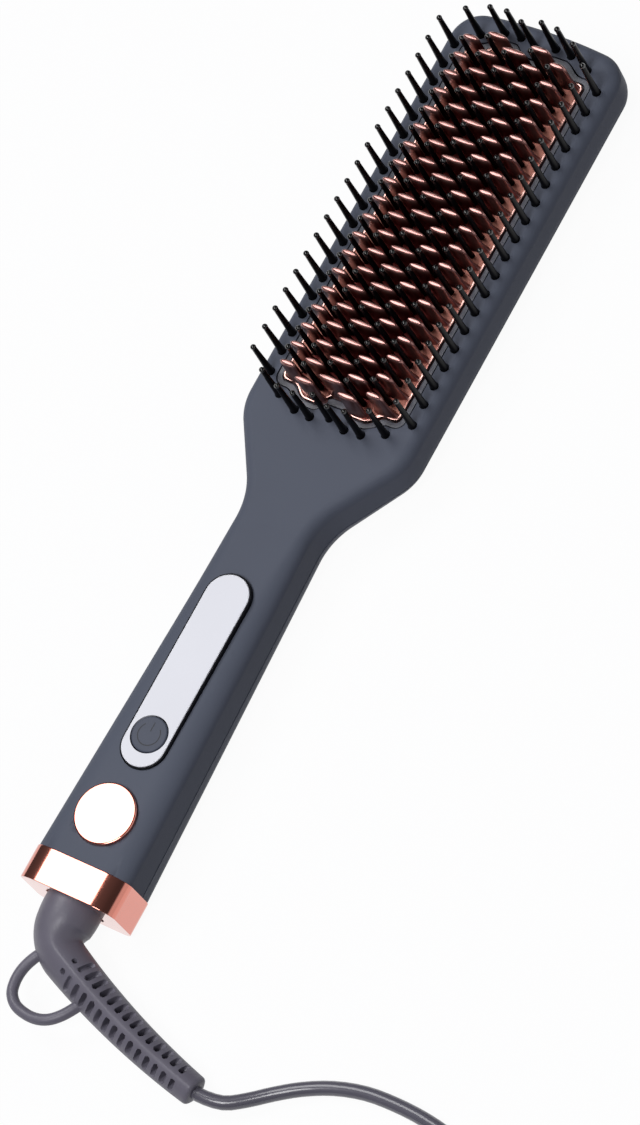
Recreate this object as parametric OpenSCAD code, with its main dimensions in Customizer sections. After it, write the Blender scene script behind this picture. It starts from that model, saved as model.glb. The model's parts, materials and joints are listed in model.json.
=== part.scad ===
// Heated hair-straightening brush with a swivel mains cord.
// Millimetres. The brush lies on its flat back: bristles point up (+Z), the head points to +X and
// the origin is under the middle of the brush, on the back face.

/* [Housing] */
// Length of the brush from the head end to the collar end
body_len = 279; // [274:1:290]
// Width of the head
head_w = 55.2; // [55:0.2:60]
// Thickness of the head, back face to bristle face
body_t = 18; // [17.6:0.1:20]
// Extra thickness of the handle at its tail
tail_rise = 1.3; // [0.8:0.1:2]
// Width of the neck at its narrowest
neck_w = 24; // [23.4:0.2:27]
// Width of the handle at the collar
tail_w = 30.4; // [29.6:0.2:34]
// Radius of the edge round the bristle face
face_fillet = 3.5; // [2.6:0.1:4]
// Radius of the head's back edge
head_back_r = 9; // [7:0.1:9.6]
// Radius of the handle's back edge at the tail
tail_back_r = 3.5; // [3:0.1:4.4]
// Thickness of the moulded shells
shell_wall = 2.2; // [1.8:0.1:2.4]
// Height of the parting line above the back
part_z = 6.5; // [6:0.1:7.6]
// Plan radius of the head's shoulders
shoulder_r = 17; // [12:0.5:22]
// Plan radius of the hollow where the neck meets the handle
neck_r = 22; // [16:0.5:28]
// Angle of the neck's flanks to the brush's length
neck_angle = 33.4; // [30:0.2:38]
// Plan radius of the head's end corners
corner_r = 10; // [9.8:0.1:12]
// Plan radius of the head's end edge
end_arc_r = 95; // [70:1:140]

/* [Bristle field] */
// Number of bristle stations along the head
stations = 19; // [17:1:19]
// Distance between stations
pitch = 6; // [5.8:0.05:6.1]
// Distance from the last station to the head end
end_margin = 13; // [12.6:0.1:15]
// Distance between the columns of fins
col_pitch = 7; // [6.8:0.05:7.1]
// Distance of the outer bristle rows from the centre line
outer_row_y = 23.5; // [23.4:0.05:23.7]
// Height of the bristles above the face
pin_h = 15.8; // [14:0.1:18]
// Diameter of a bristle under its ball
pin_d = 1.3; // [1.1:0.05:1.5]
// Diameter of a bristle at the face
pin_base_d = 2.3; // [2:0.05:2.5]
// Diameter of a bristle's ball tip
ball_d = 1.7; // [1.5:0.05:2]
// Running clearance round a bristle in its hole
pin_clear = 0.2; // [0.1:0.05:0.25]

/* [Heater] */
// Half width of the heater plate
plate_half_w = 19.2; // [19:0.05:19.4]
// Thickness of the heater plate
plate_t = 1.6; // [1.2:0.1:1.8]
// Height of the plate's top over the face
plate_proud = 0.3; // [0.1:0.1:0.6]
// Plate margin beyond the end station at the middle and outer columns
end_low = 1.2; // [1.1:0.05:1.5]
// Plate margin beyond the end station at the columns between
end_high = 4.5; // [4.4:0.05:4.8]
// Height of the fins above the plate
fin_h = 10.7; // [9:0.1:12]
// Thickness of a fin at its middle
fin_t = 2.1; // [1.8:0.05:2.2]
// Length of a middle-column fin
fin_len = 9; // [8.4:0.1:9.4]
// Width of the grey frame round the plate
bezel_w = 1.7; // [1.5:0.05:1.8]
// Gap between plate and frame
bezel_gap = 0.4; // [0.3:0.05:0.5]
// Thickness of the ceramic heater blocks
ptc_t = 1.8; // [1.5:0.1:2]
// Width of a heater lane between the bristle columns
ptc_w = 4.4; // [3.8:0.1:4.6]

/* [Handle trim] */
// Width of the raised display strip
strip_w = 14; // [13:0.1:14.4]
// Length of the display strip
strip_len = 60.4; // [56:0.2:64]
// Distance from the collar end to the display strip's tail end
strip_from_tail = 39; // [38.4:0.1:44]
// Height of the strip's top over the head's face
strip_proud = 2; // [1.6:0.1:2.4]
// Diameter of the power button
button_d = 10.5; // [9.6:0.1:10.8]
// Gap round the power button
button_gap = 0.25; // [0.15:0.05:0.35]
// Travel of the power button
button_travel = 0.5; // [0.3:0.05:0.6]
// Diameter of the round badge
badge_d = 18; // [16:0.2:18.6]
// Distance from the collar end to the badge's centre
badge_from_tail = 25.4; // [24.8:0.1:26]
// Height of the badge over the handle's face
badge_proud = 1.2; // [0.8:0.1:1.6]

/* [Collar and swivel] */
// Length of the metal collar
collar_len = 10; // [9:0.1:11]
// Step of the collar over the handle
collar_step = 0.4; // [0.2:0.05:0.6]
// Diameter of the swivelling barrel
barrel_d = 9; // [8.4:0.1:9.4]
// Radial running clearance of the barrel
barrel_clear = 0.05; // [0.03:0.01:0.08]
// Diameter of the strain relief where it leaves the collar
neck_d = 16.5; // [15:0.1:16.8]
// Diameter of the strain relief after its elbow
sleeve_d = 12.8; // [12:0.1:13.4]
// Diameter of the strain relief at the cord
sleeve_end_d = 8.6; // [7.8:0.1:9.2]
// Thickness of the hanging loop
loop_d = 3.2; // [2.6:0.1:3.6]

/* [Cord] */
// Diameter of the mains cord
cord_d = 4; // [3.6:0.1:4]
// Step between turns and between layers
coil_step = 4.5; // [4.45:0.05:4.8]

/* [Hidden] */
$fn = 48;
EPS = 0.01;

// ---- places that follow from the driving sizes
end_x = body_len / 2;
tail_x = -end_x;
last_x = end_x - end_margin;
first_x = last_x - (stations - 1) * pitch;
collar_x = tail_x + collar_len;
shoulder_x = first_x - 7;
face_z = body_t;
tail_z = face_z + tail_rise;
wall_z = face_z - 2;
head_hw = head_w / 2;
neck_hw = neck_w / 2;
tail_hw = tail_w / 2;
mid_back_r = 6;

// outline of the housing from the front: handle line, neck hollow, flank, shoulder, end corner, end arc
bend = 1 - cos(neck_angle);
flank = (head_hw - neck_hw - (neck_r + shoulder_r) * bend) / sin(neck_angle);
flank_end = [shoulder_x - shoulder_r * sin(neck_angle), head_hw - shoulder_r * bend];
flank_start = flank_end - flank * [cos(neck_angle), sin(neck_angle)];
neck_c = flank_start + neck_r * [-sin(neck_angle), cos(neck_angle)];
neck_x = neck_c.x;
taper = atan((tail_hw - neck_hw) / (neck_x - collar_x));
shoulder_c = [shoulder_x, head_hw - shoulder_r];
end_c = [end_x - end_arc_r, 0];
corner_c = [end_c.x + sqrt(pow(end_arc_r - corner_r, 2) - pow(head_hw - corner_r, 2)),
            head_hw - corner_r];
corner_a = asin((head_hw - corner_r) / (end_arc_r - corner_r));

// an outline point is [x, y, outward normal x, outward normal y]; a is the normal's angle
function bulge(c, r, a) = [c.x + r * cos(a), c.y + r * sin(a), cos(a), sin(a)];
function hollow(c, r, a) = [c.x - r * cos(a), c.y - r * sin(a), cos(a), sin(a)];
function mix(a, b, t) = a + (b - a) * t;
function smooth(t) = t <= 0 ? 0 : t >= 1 ? 1 : 0.5 - 0.5 * cos(180 * t);
neck_start = hollow(neck_c, neck_r, 90 - taper);
half_outline = concat(
    [[collar_x, tail_hw, 0, 1]],
    [for (t = [0.25:0.25:0.75]) [mix(collar_x, neck_start.x, t), mix(tail_hw, neck_start.y, t),
                                 neck_start[2], neck_start[3]]],
    [for (i = [0:9]) hollow(neck_c, neck_r, 90 - taper + i / 9 * (neck_angle + taper))],
    [for (i = [0:7]) bulge(shoulder_c, shoulder_r, 90 + neck_angle * (1 - i / 7))],
    [[mix(shoulder_x, corner_c.x, 0.5), head_hw, 0, 1]],
    [for (i = [0:7]) bulge(corner_c, corner_r, 90 - i / 7 * (90 - corner_a))],
    [for (i = [1:5]) bulge(end_c, end_arc_r, corner_a * (1 - i / 5))]);
half_n = len(half_outline);
loop_n = 2 * half_n - 1;
outline = concat([for (p = half_outline) [p.x, -p.y, p[2], -p[3]]],
                 [for (i = [half_n - 2:-1:0]) half_outline[i]]);

// radius of the back edge and height of the face along the brush
function back_r(x) = x > shoulder_x ? head_back_r :
    x > neck_x ? mix(mid_back_r, head_back_r, (x - neck_x) / (shoulder_x - neck_x)) :
    mix(tail_back_r, mid_back_r, (x - collar_x) / (neck_x - collar_x));
function top(x) = x > neck_x ? face_z : face_z + tail_rise * (neck_x - x) / (neck_x - collar_x);
// how far a quarter round of radius r draws in at distance h from its edge
function round_in(r, h) = h >= r ? 0 : r - sqrt(max(0, r * r - pow(r - h, 2)));
function side_in(x, z) = max(round_in(back_r(x), z), round_in(face_fillet, top(x) - z));
function ring(height, extra) = [for (p = outline)
    let (z = height(p.x), d = side_in(p.x, z) + extra) [p.x - p[2] * d, p.y - p[3] * d, z]];

// closed solid through rings of one count; the ends are strips from side to side
module loft(rings) {
    k = len(rings);
    n = loop_n;
    sides = [for (j = [0:k - 2], i = [0:n - 2], h = [0, 1])
        h == 0 ? [j * n + i, (j + 1) * n + i, (j + 1) * n + i + 1]
               : [j * n + i, (j + 1) * n + i + 1, j * n + i + 1]];
    seam = [for (j = [0:k - 2], h = [0, 1])
        h == 0 ? [j * n + n - 1, (j + 1) * n + n - 1, (j + 1) * n]
               : [j * n + n - 1, (j + 1) * n, j * n]];
    bottom = [for (i = [0:half_n - 2]) i == half_n - 2 ? [i, i + 1, n - 1 - i]
                                                       : [i, i + 1, n - 2 - i, n - 1 - i]];
    t = (k - 1) * n;
    lid = [for (f = bottom) [for (i = [len(f) - 1:-1:0]) t + f[i]]];
    polyhedron(concat([for (r = rings, p = r) p]), concat(sides, seam, bottom, lid), convexity = 6);
}

// outer forms of the two shells, with a fine chamfer that draws the parting line
seam_depth = 0.25;
seam_h = 0.3;
fillet_steps = 5;
back_steps = 6;
module front_form() {
    loft(concat(
        [ring(function(x) part_z, seam_depth), ring(function(x) part_z + seam_h, 0)],
        [ring(function(x) (part_z + head_back_r) / 2, 0), ring(function(x) head_back_r, 0)],
        [for (i = [0:fillet_steps])
            ring(function(x) top(x) - face_fillet * (1 - sin(90 * i / fillet_steps)), 0)]));
}
module back_form() {
    loft(concat(
        [for (i = [0:back_steps])
            ring(function(x) (part_z - seam_h) * (1 - cos(90 * i / back_steps)), 0)],
        [ring(function(x) part_z, seam_depth)]));
}
// hollows of the shells, concentric with the outer forms
function floor_in(x, z) = let (r = max(0.6, back_r(x) - shell_wall)) round_in(r, z - shell_wall);
function floor_ring(z) = [for (p = outline) let (d = shell_wall + floor_in(p.x, z))
    [p.x - p[2] * d, p.y - p[3] * d, z]];
module front_hollow() {
    loft([ring(function(x) part_z - 1, shell_wall), ring(function(x) head_back_r, shell_wall),
          ring(function(x) wall_z - 2, shell_wall), ring(function(x) wall_z, shell_wall)]);
}
hollow_steps = 4;
module back_hollow() {
    loft([for (i = [0:hollow_steps])
        floor_ring(shell_wall + (part_z + 1 - shell_wall) * (1 - cos(90 * i / hollow_steps)))]);
}

// ---- section of the handle's tail, with round corners
spigot_in = 1.3;
spigot_wall = 1.3;
module tail_section(grow) {
    w = tail_hw + grow;
    lo = max(0, -grow);
    hi = tail_z + grow;
    rt = face_fillet + grow;
    rb = tail_back_r + min(grow, 0);
    polygon([[-w + rb, lo], [w - rb, lo], [w, lo + rb], [w, hi - rt],
             [w - rt, hi], [-w + rt, hi], [-w, hi - rt], [-w, lo + rb]]);
    for (s = [-1, 1]) {
        translate([s * (w - rb), lo + rb]) circle(rb);
        translate([s * (w - rt), hi - rt]) circle(rt);
    }
}
// extrudes a YZ section along X
module along_x(x0, x1) {
    translate([x0, 0, 0]) rotate([90, 0, 90]) linear_extrude(x1 - x0) children();
}
module spigot() {
    difference() {
        along_x(tail_x + 3, collar_x + 2.5) tail_section(-spigot_in);
        along_x(tail_x + 2, collar_x + 3) tail_section(-spigot_in - spigot_wall);
    }
}

// ---- bristle field
lane_y = 1.5 * col_pitch;
sense_y = 0.5 * col_pitch;
function station(k) = first_x + k * pitch;
fin_spots = [for (c = [-2:2], k = [0:stations - (c % 2 == 0 ? 1 : 0)])
    [station(c % 2 == 0 ? k : k - 0.5), c * col_pitch, c]];
inner_spots = [for (c = [-2:2], k = [0:stations - (c % 2 == 0 ? 2 : 1)])
    [station(c % 2 == 0 ? k + 0.5 : k), c * col_pitch]];
// margin of the field beyond its end stations at distance y from the centre line
function reach(y, dip = true) = let (a = abs(y) / col_pitch) end_low + (end_high - end_low) *
    (a > 1.5 ? smooth((2.2 - a) / 0.7) : dip ? smooth((a - 0.22) / 0.57) : 1);
field_steps = 28;
function field_end(g, dip) = let (w = plate_half_w + g, c = 1.5 + max(g, 0), n = field_steps)
    concat([for (a = [-90:30:-30]) [end_low + g - c + c * cos(a), -w + c + c * sin(a)]],
           [for (i = [0:n]) let (y = mix(-w + c, w - c, i / n)) [reach(y, dip) + g, y]],
           [for (a = [30:30:90]) [end_low + g - c + c * cos(a), w - c + c * sin(a)]]);
module field(g, dip = true) {
    e = field_end(g, dip);
    polygon(concat([for (p = e) [last_x + p.x, p.y]], [for (p = e) [first_x - p.x, -p.y]]));
}
// a layer of thickness t whose underside is at z
module layer(z, t) {
    translate([0, 0, z]) linear_extrude(t) children();
}
module holes(spots, r) {
    for (s = spots) translate([s.x, s.y]) circle(r, $fn = 24);
}

// outer bristles: two side rows and an arc of seven at each end
row_shift = 0.7;
row_out = outer_row_y - plate_half_w;
end_pin_y = [0, 5.7, 11, 17.6];
end_pin_out = [6.1, 4.5, 4.2, 4.7];
side_x = [for (k = [0:stations - 1])
    station(k) + (k == 0 ? -row_shift : k == stations - 1 ? row_shift : 0)];
end_spots = [for (i = [0:3], s = i == 0 ? [1] : [-1, 1])
    [reach(end_pin_y[i]) + end_pin_out[i], s * end_pin_y[i]]];
outer_spots = concat([for (x = side_x, s = [-1, 1]) [x, s * outer_row_y]],
                     [for (p = end_spots) [last_x + p.x, p.y]],
                     [for (p = end_spots) [first_x - p.x, p.y]]);
tip_z = face_z + pin_h;
ball_r = ball_d / 2;
// a bristle from z0 up to the common tip height, flared to radius rb at height zb
module bristle(z0, zb, rb) {
    rt = pin_d / 2;
    flare = 1.6;
    shaft_top = tip_z - 2 * ball_r + 0.35;
    ball = [for (a = [-50:28:90]) [max(0, ball_r * cos(a)), tip_z - ball_r + ball_r * sin(a)]];
    translate([0, 0, 0]) rotate_extrude($fn = 16) polygon(concat(
        [[0, z0], [rb, z0], [rb, zb], [mix(rt, rb, 0.3), zb + flare], [rt * 0.85, shaft_top]],
        ball, [[0, tip_z]]));
}

// ---- heights of the heater stack, from the plate down
plate_top = face_z + plate_proud;
plate_z = plate_top - plate_t;
ptc_z = plate_z - ptc_t;
electrode_t = 0.4;
electrode_z = ptc_z - electrode_t;
mica_t = 0.3;
mica_z = electrode_z - mica_t;
carrier_t = 1.8;
carrier_z = mica_z - carrier_t;
clamp_t = 1.2;
clamp_z = carrier_z - clamp_t;
shaft_r = 0.85;
shaft_hole_r = shaft_r + pin_clear;
ptc_x0 = first_x + 4;
ptc_x1 = last_x - 4;
ptc_blocks = 4;
ptc_gap = 1;
lead_x = first_x + 2;
lead_r = 0.9;
lead_hole_r = lead_r + 0.3;
lead_spots = [[lead_x, lane_y], [lead_x, -lane_y]];
sense_spot = [lead_x, sense_y];
boss_r = 2.1;
boss_y = plate_half_w + 0.1;
screw_r = 0.9;
pilot_clear = 0.05;
clamp_spots = [for (k = [1.5, (stations - 1) / 2, stations - 2.5], s = [-1, 1])
    [station(k), s * boss_y]];
seam_gap = 0.15;
flange_w = 0.7;
bezel_out = bezel_gap + bezel_w;
bezel_top = face_z - 0.1;
ledge_in = -0.9;
ledge_t = 0.8;

// ---- handle
strip_x0 = tail_x + strip_from_tail;
strip_x1 = strip_x0 + strip_len;
button_x = strip_x0 + strip_w / 2 + 3;
strip_top = face_z + strip_proud;
strip_plate_t = 0.8;
strip_flange = 1.2;
flange_t = 1.1;
strip_gap = 0.2;
plate_edge = 0.3;
badge_x = tail_x + badge_from_tail;
badge_seat = 1.2;
badge_dome = 0.4;
badge_z = top(badge_x) - badge_seat;
stud_r = 1.5;
board_boss_r = 2.3;
board_t = 1.6;
board_z = wall_z - 5;
board_top = board_z + board_t;
board_w = 17;
board_x0 = tail_x + 31.3;
board_end = 4;
board_x1 = strip_x1 + strip_flange + board_boss_r + 1 + board_end;
board_spots = [[board_x0 + 3.6, 0], [board_x1 - board_end, 0]];
module stadium(x0, x1, w) {
    translate([x0 + w / 2, -w / 2]) square([x1 - x0 - w, w]);
    for (x = [x0 + w / 2, x1 - w / 2]) translate([x, 0]) circle(w / 2);
}
module strip_outline(g) {
    stadium(strip_x0 - g, strip_x1 + g, strip_w + 2 * g);
}

// ---- swivel
swivel_z = tail_z / 2;
socket_r = wall_z - swivel_z - 0.15;
collar_wall = 1.5;
socket_x0 = tail_x + collar_wall + 0.1;
socket_x1 = socket_x0 + 14;
barrel_r = barrel_d / 2;
barrel_x1 = socket_x1 + 11;
relief_x = tail_x + collar_wall;
clip_x = socket_x1 + 0.4;
clip_t = 0.9;
ring_r = 4;
ring_seat_r = 3.2;
ring_w = 2;
ring_xs = [socket_x1 + 3.4, socket_x1 + 7.4];
leaf_z = swivel_z + ring_r + 0.3;
leaf_t = 0.4;
// turns a profile given as (radius, distance from the collar end) into a solid round the swivel axis
module on_swivel(x) {
    translate([x, 0, swivel_z]) rotate([0, 90, 0]) children();
}
module rib(x, z0, z1) {
    difference() {
        translate([x, -tail_hw + 1.9, z0]) cube([1.5, tail_w - 3.8, z1 - z0]);
        on_swivel(x - 1) cylinder(r = socket_r + 0.05, h = 4);
    }
}
rib_xs = [tail_x + 6, collar_x + 2.2];

// ---------------------------------------------------------------- housing
module front_housing() {
    color("#5E626D") difference() {
        union() {
            difference() {
                union() {
                    front_form();
                    intersection() {
                        spigot();
                        translate([tail_x, -tail_hw, part_z]) cube([20, tail_w, body_t * 2]);
                    }
                }
                front_hollow();
                along_x(tail_x + 2, collar_x + 0.5) tail_section(-spigot_in - spigot_wall);
            }
            for (x = rib_xs) rib(x, part_z + 0.05, wall_z + 0.8);
            for (s = board_spots) translate([s.x, s.y, board_top])
                cylinder(r = board_boss_r, h = wall_z - board_top + 0.5);
        }
        layer(wall_z - 1, 4) field(bezel_out + seam_gap);
        layer(wall_z - 1, 6) holes(outer_spots, pin_base_d / 2 + pin_clear);
        layer(wall_z - 1, 6) strip_outline(strip_gap);
        translate([badge_x, 0, badge_z]) cylinder(d = badge_d + 0.2, h = 4);
        translate([badge_x, 0, wall_z - 1]) cylinder(r = stud_r + 0.1, h = 4);
        for (s = board_spots) translate([s.x, s.y, board_top - 1])
            cylinder(r = screw_r + pilot_clear, h = 4, $fn = 24);
    }
}

module back_housing() {
    color("#50545F") {
        difference() {
            union() {
                back_form();
                intersection() {
                    spigot();
                    translate([tail_x, -tail_hw, 0]) cube([20, tail_w, part_z]);
                }
            }
            back_hollow();
            along_x(tail_x + 2, collar_x + 0.5) tail_section(-spigot_in - spigot_wall);
        }
        for (x = rib_xs) rib(x, shell_wall - 0.4, part_z - 0.05);
    }
}

// ---------------------------------------------------------------- heater
module heater_bezel() {
    color("#4A4D55") difference() {
        union() {
            layer(carrier_z, bezel_top - carrier_z) difference() {
                field(bezel_out);
                field(bezel_gap);
            }
            layer(plate_z - ledge_t, ledge_t) difference() {
                field(bezel_gap + 0.1);
                field(ledge_in);
            }
            layer(wall_z - 1, 1) difference() {
                field(bezel_out + flange_w);
                field(bezel_out - 0.1);
            }
            for (s = clamp_spots) translate([s.x, s.y, carrier_z])
                cylinder(r = boss_r, h = plate_z - ledge_t - carrier_z + 0.1, $fn = 24);
        }
        for (s = clamp_spots) translate([s.x, s.y, carrier_z - 1])
            cylinder(r = screw_r + pilot_clear, h = 4, $fn = 24);
    }
}

// side view of a fin: u runs outward, the ridge is at fin_h. c is the column, 0 in the middle
function fin_side(c) = let (h = fin_h, l = fin_len / 2)
    abs(c) == 2 ? [[-l * 0.66, -0.5], [-l * 0.6, h - 1.6], [-l * 0.52, h - 0.5], [-l * 0.38, h],
                   [l * 0.3, h], [l * 0.52, h - 0.5], [l * 0.68, h - 1.6], [l * 0.78, h - 3.4],
                   [l * 0.82, h * 0.35], [l * 0.92, 0.8], [l, 0.3], [l, -0.5]]
                : let (k = abs(c) == 1 ? 0.8 : 1)
                  [[-l * k, -0.5], [-l * k, 0.6], [-l * k * 0.92, h - 1.4],
                   [-l * k * 0.84, h - 0.4], [-l * k * 0.7, h], [l * k * 0.7, h],
                   [l * k * 0.84, h - 0.4], [l * k * 0.92, h - 1.4], [l * k, 0.6], [l * k, -0.5]];
module fin(c) {
    l = fin_len + 0.6;
    r = (l * l + fin_t * fin_t) / (4 * fin_t);
    out = c < 0 ? -1 : 1;
    intersection() {
        translate([0, 0, -0.5]) linear_extrude(fin_h + 1) intersection() {
            translate([r - fin_t / 2, 0]) circle(r, $fn = 64);
            translate([fin_t / 2 - r, 0]) circle(r, $fn = 64);
        }
        translate([-fin_t, 0, 0]) rotate([90, 0, 90]) linear_extrude(2 * fin_t)
            polygon([for (p = fin_side(c)) [out * p.x, p.y]]);
        translate([0, fin_len, 0]) rotate([90, 0, 0]) linear_extrude(2 * fin_len) {
            translate([-fin_t / 2, -0.5]) square([fin_t, fin_h - fin_t / 2 + 0.5]);
            translate([0, fin_h - fin_t / 2]) circle(fin_t / 2, $fn = 24);
        }
    }
}
module heater_plate() {
    color("#A8705C") {
        layer(plate_z, plate_t) difference() {
            field(0);
            holes(inner_spots, shaft_hole_r);
        }
        for (s = fin_spots) translate([s.x, s.y, plate_top]) fin(s.z);
    }
}

// rectangle under the field, past its end stations by the margin and g, and past its side columns by w
module carrier_outline(g, w) {
    translate([first_x - end_low - g, -2 * col_pitch - w])
        square([last_x - first_x + 2 * (end_low + g), 4 * col_pitch + 2 * w]);
}
module inner_bristles() {
    color("#141416") {
        layer(carrier_z, carrier_t) difference() {
            carrier_outline(0.1, 2);
            holes(lead_spots, lead_hole_r);
            holes([sense_spot], 1);
        }
        for (s = inner_spots) translate([s.x, s.y, 0]) bristle(mica_z - 0.5, plate_top, shaft_r);
    }
}

module outer_bristles() {
    color("#141416") {
        layer(wall_z - 1.6, 1.6) difference() {
            field(row_out + 1, false);
            field(row_out - 1.3);
        }
        for (s = outer_spots) translate([s.x, s.y, 0])
            bristle(wall_z - 0.5, face_z + 0.4, pin_base_d / 2);
    }
}

module ptc_heaters() {
    block = (ptc_x1 - ptc_x0 - (ptc_blocks - 1) * ptc_gap) / ptc_blocks;
    color("#B9B4A6") for (s = [-1, 1], i = [0:ptc_blocks - 1])
        translate([ptc_x0 + i * (block + ptc_gap), s * lane_y - ptc_w / 2, ptc_z])
            cube([block, ptc_w, ptc_t]);
}

module electrode_strips() {
    color("#C9CCD0") for (s = [-1, 1])
        translate([lead_x - 1.4, s * lane_y - ptc_w / 2, electrode_z])
            cube([ptc_x1 - lead_x + 1.4, ptc_w, electrode_t]);
}

module mica_sheet() {
    color("#C8BFA4") layer(mica_z, mica_t) difference() {
        carrier_outline(-0.1, 1.8);
        holes(inner_spots, shaft_hole_r);
        holes(lead_spots, lead_hole_r);
        holes([sense_spot], 1);
    }
}

module clamp_plate() {
    color("#AEB1B5") layer(clamp_z, clamp_t) difference() {
        field(bezel_out - 0.5, false);
        holes(clamp_spots, screw_r + 0.2);
        holes(lead_spots, lead_hole_r);
        holes([sense_spot], 1);
    }
}

// pan-head screw driven upwards, head's underside at z
module screw(z, length) {
    translate([0, 0, z]) cylinder(r = screw_r, h = length, $fn = 24);
    difference() {
        translate([0, 0, z - 1.2]) cylinder(r = 1.9, h = 1.2, $fn = 24);
        for (a = [0, 90]) rotate(a) translate([-1.1, -0.2, z - 1.3]) cube([2.2, 0.4, 0.7]);
    }
}
module clamp_screws() {
    color("silver") for (s = clamp_spots) translate([s.x, s.y, 0]) screw(clamp_z, clamp_t + 2.4);
}

module thermistor() {
    r = 1.05;
    z = plate_z - r;
    color("#C2713A") {
        translate([lead_x + 12, sense_y, z]) rotate([0, 90, 0]) cylinder(r = r, h = 4, $fn = 24);
        for (s = [-1, 1]) {
            translate([lead_x - 0.25, sense_y + s * 0.45, z]) rotate([0, 90, 0])
                cylinder(r = 0.25, h = 13, $fn = 16);
            translate([lead_x, sense_y + s * 0.45, clamp_z - 1.5])
                cylinder(r = 0.25, h = z - clamp_z + 1.5, $fn = 16);
        }
    }
}

module thermal_fuse() {
    r = 1.9;
    color("#D8D3C4") translate([station(5), 0, clamp_z - r]) rotate([0, 90, 0]) {
        cylinder(r = r, h = 11, $fn = 24);
        translate([0, 0, -6]) cylinder(r = 0.4, h = 23, $fn = 16);
    }
}

// ---------------------------------------------------------------- swept tubes
function unit(v) = v / norm(v);
// a ring of n points round p, square to direction d
function hoop(p, d, r, n, turn = 0) = let (s = unit(cross([0, 0, 1], d)), u = cross(d, s))
    [for (i = [0:n - 1]) let (a = 360 * i / n + turn) p + r * (cos(a) * s + sin(a) * u)];
function heading(pts, i) = let (k = len(pts) - 1)
    unit(i == 0 ? pts[1] - pts[0] : i == k ? pts[k] - pts[k - 1] : pts[i + 1] - pts[i - 1]);
module tube(hoops) {
    k = len(hoops);
    n = len(hoops[0]);
    skin = [for (j = [0:k - 2], i = [0:n - 1], h = [0, 1]) let (i2 = (i + 1) % n)
        h == 0 ? [j * n + i, (j + 1) * n + i, (j + 1) * n + i2]
               : [j * n + i, (j + 1) * n + i2, j * n + i2]];
    first = [[for (i = [0:n - 1]) i]];
    last = [[for (i = [n - 1:-1:0]) (k - 1) * n + i]];
    polyhedron([for (h = hoops, p = h) p], concat(skin, first, last), convexity = 10);
}
module cable(pts, r, n) {
    tube([for (i = [0:len(pts) - 1]) hoop(pts[i], heading(pts, i), r, n)]);
}

// insulated leads from the heater strips, through the clamp plate and back to the board
lead_low = clamp_z - 3;
function lead_route(s) = let (y = s * lane_y, x1 = board_x1 - 3, yb = s * 5) concat(
    [[lead_x + 0.01, y, electrode_z], [lead_x, y, lead_low + 4]],
    [for (a = [15:25:90]) [lead_x - 3 * (1 - cos(a)), y, lead_low + 3 - 3 * sin(a)]],
    [for (t = [0:0.125:1]) [mix(lead_x - 8, x1 + 10, t), mix(y, yb, smooth(t)), lead_low]],
    [for (a = [0:25:75]) [x1 + 3 - 3 * sin(a), yb, lead_low + 3 * (1 - cos(a))]],
    [[x1 - 0.01, yb, board_z]]);
module heater_leads() {
    color("#B43A32") for (s = [-1, 1]) cable(lead_route(s), lead_r, 8);
}

// ---------------------------------------------------------------- board and switch
module main_board() {
    color("#2F6B4A") layer(board_z, board_t) difference() {
        translate([board_x0, -board_w / 2]) square([board_x1 - board_x0, board_w]);
        holes(board_spots, screw_r + 0.2);
    }
}
// place along the board, from 0 at its tail end to 1
function on_board(t) = mix(board_x0, board_x1, t);
relay = [13, 9, 6];
capacitor_d = 6.8;
capacitor_len = 12;
chip = [6, 5, 1.4];
module board_parts() {
    color("#26282B") {
        translate([on_board(0.5), -board_w / 2 + 2, board_z - relay.z]) cube(relay);
        translate([on_board(0.36), board_w / 4, board_z - capacitor_d / 2])
            rotate([0, 90, 0]) cylinder(d = capacitor_d, h = capacitor_len);
        translate([on_board(0.76), -chip.y, board_z - chip.z]) cube(chip);
        translate([on_board(0.18), -chip.y / 2, board_z - chip.z]) cube(chip);
        translate([on_board(0.45), -chip.y / 2, board_top]) cube(chip);
        for (t = [0.6, 0.7, 0.8]) translate([on_board(t), -1, board_top]) cube([1.6, 2, 0.9]);
    }
}
module board_screws() {
    color("silver") for (s = board_spots) translate([s.x, s.y, 0]) screw(board_z, board_t + 2.8);
}
switch_h = 3.5;
switch_bore_r = 1.75;
switch_floor_z = board_top + 0.8;
plunger_r = 1.7;
plunger_z = switch_floor_z + button_travel + 0.3;
module tact_switch() {
    color("#3A3C40") difference() {
        translate([button_x - 3, -3, board_top]) cube([6, 6, switch_h]);
        translate([button_x, 0, switch_floor_z]) cylinder(r = switch_bore_r, h = 4);
    }
}
button_top = strip_top + 0.2;
button_roof = 1.8;
module switch_plunger() {
    color("#C7402E") translate([button_x, 0, plunger_z])
        cylinder(r = plunger_r, h = button_top - button_roof - plunger_z);
}
module power_button() {
    rim_z = wall_z - flange_t - 0.3;
    color("#3C3E45") translate([button_x, 0, 0]) rotate_extrude() polygon([
        [4.4, rim_z - 1], [button_d / 2 + 0.8, rim_z - 1], [button_d / 2 + 0.8, rim_z],
        [button_d / 2, rim_z], [button_d / 2, button_top - 0.35], [button_d / 2 - 0.35, button_top],
        [0, button_top], [0, button_top - button_roof], [4.4, button_top - button_roof]]);
}

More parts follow.
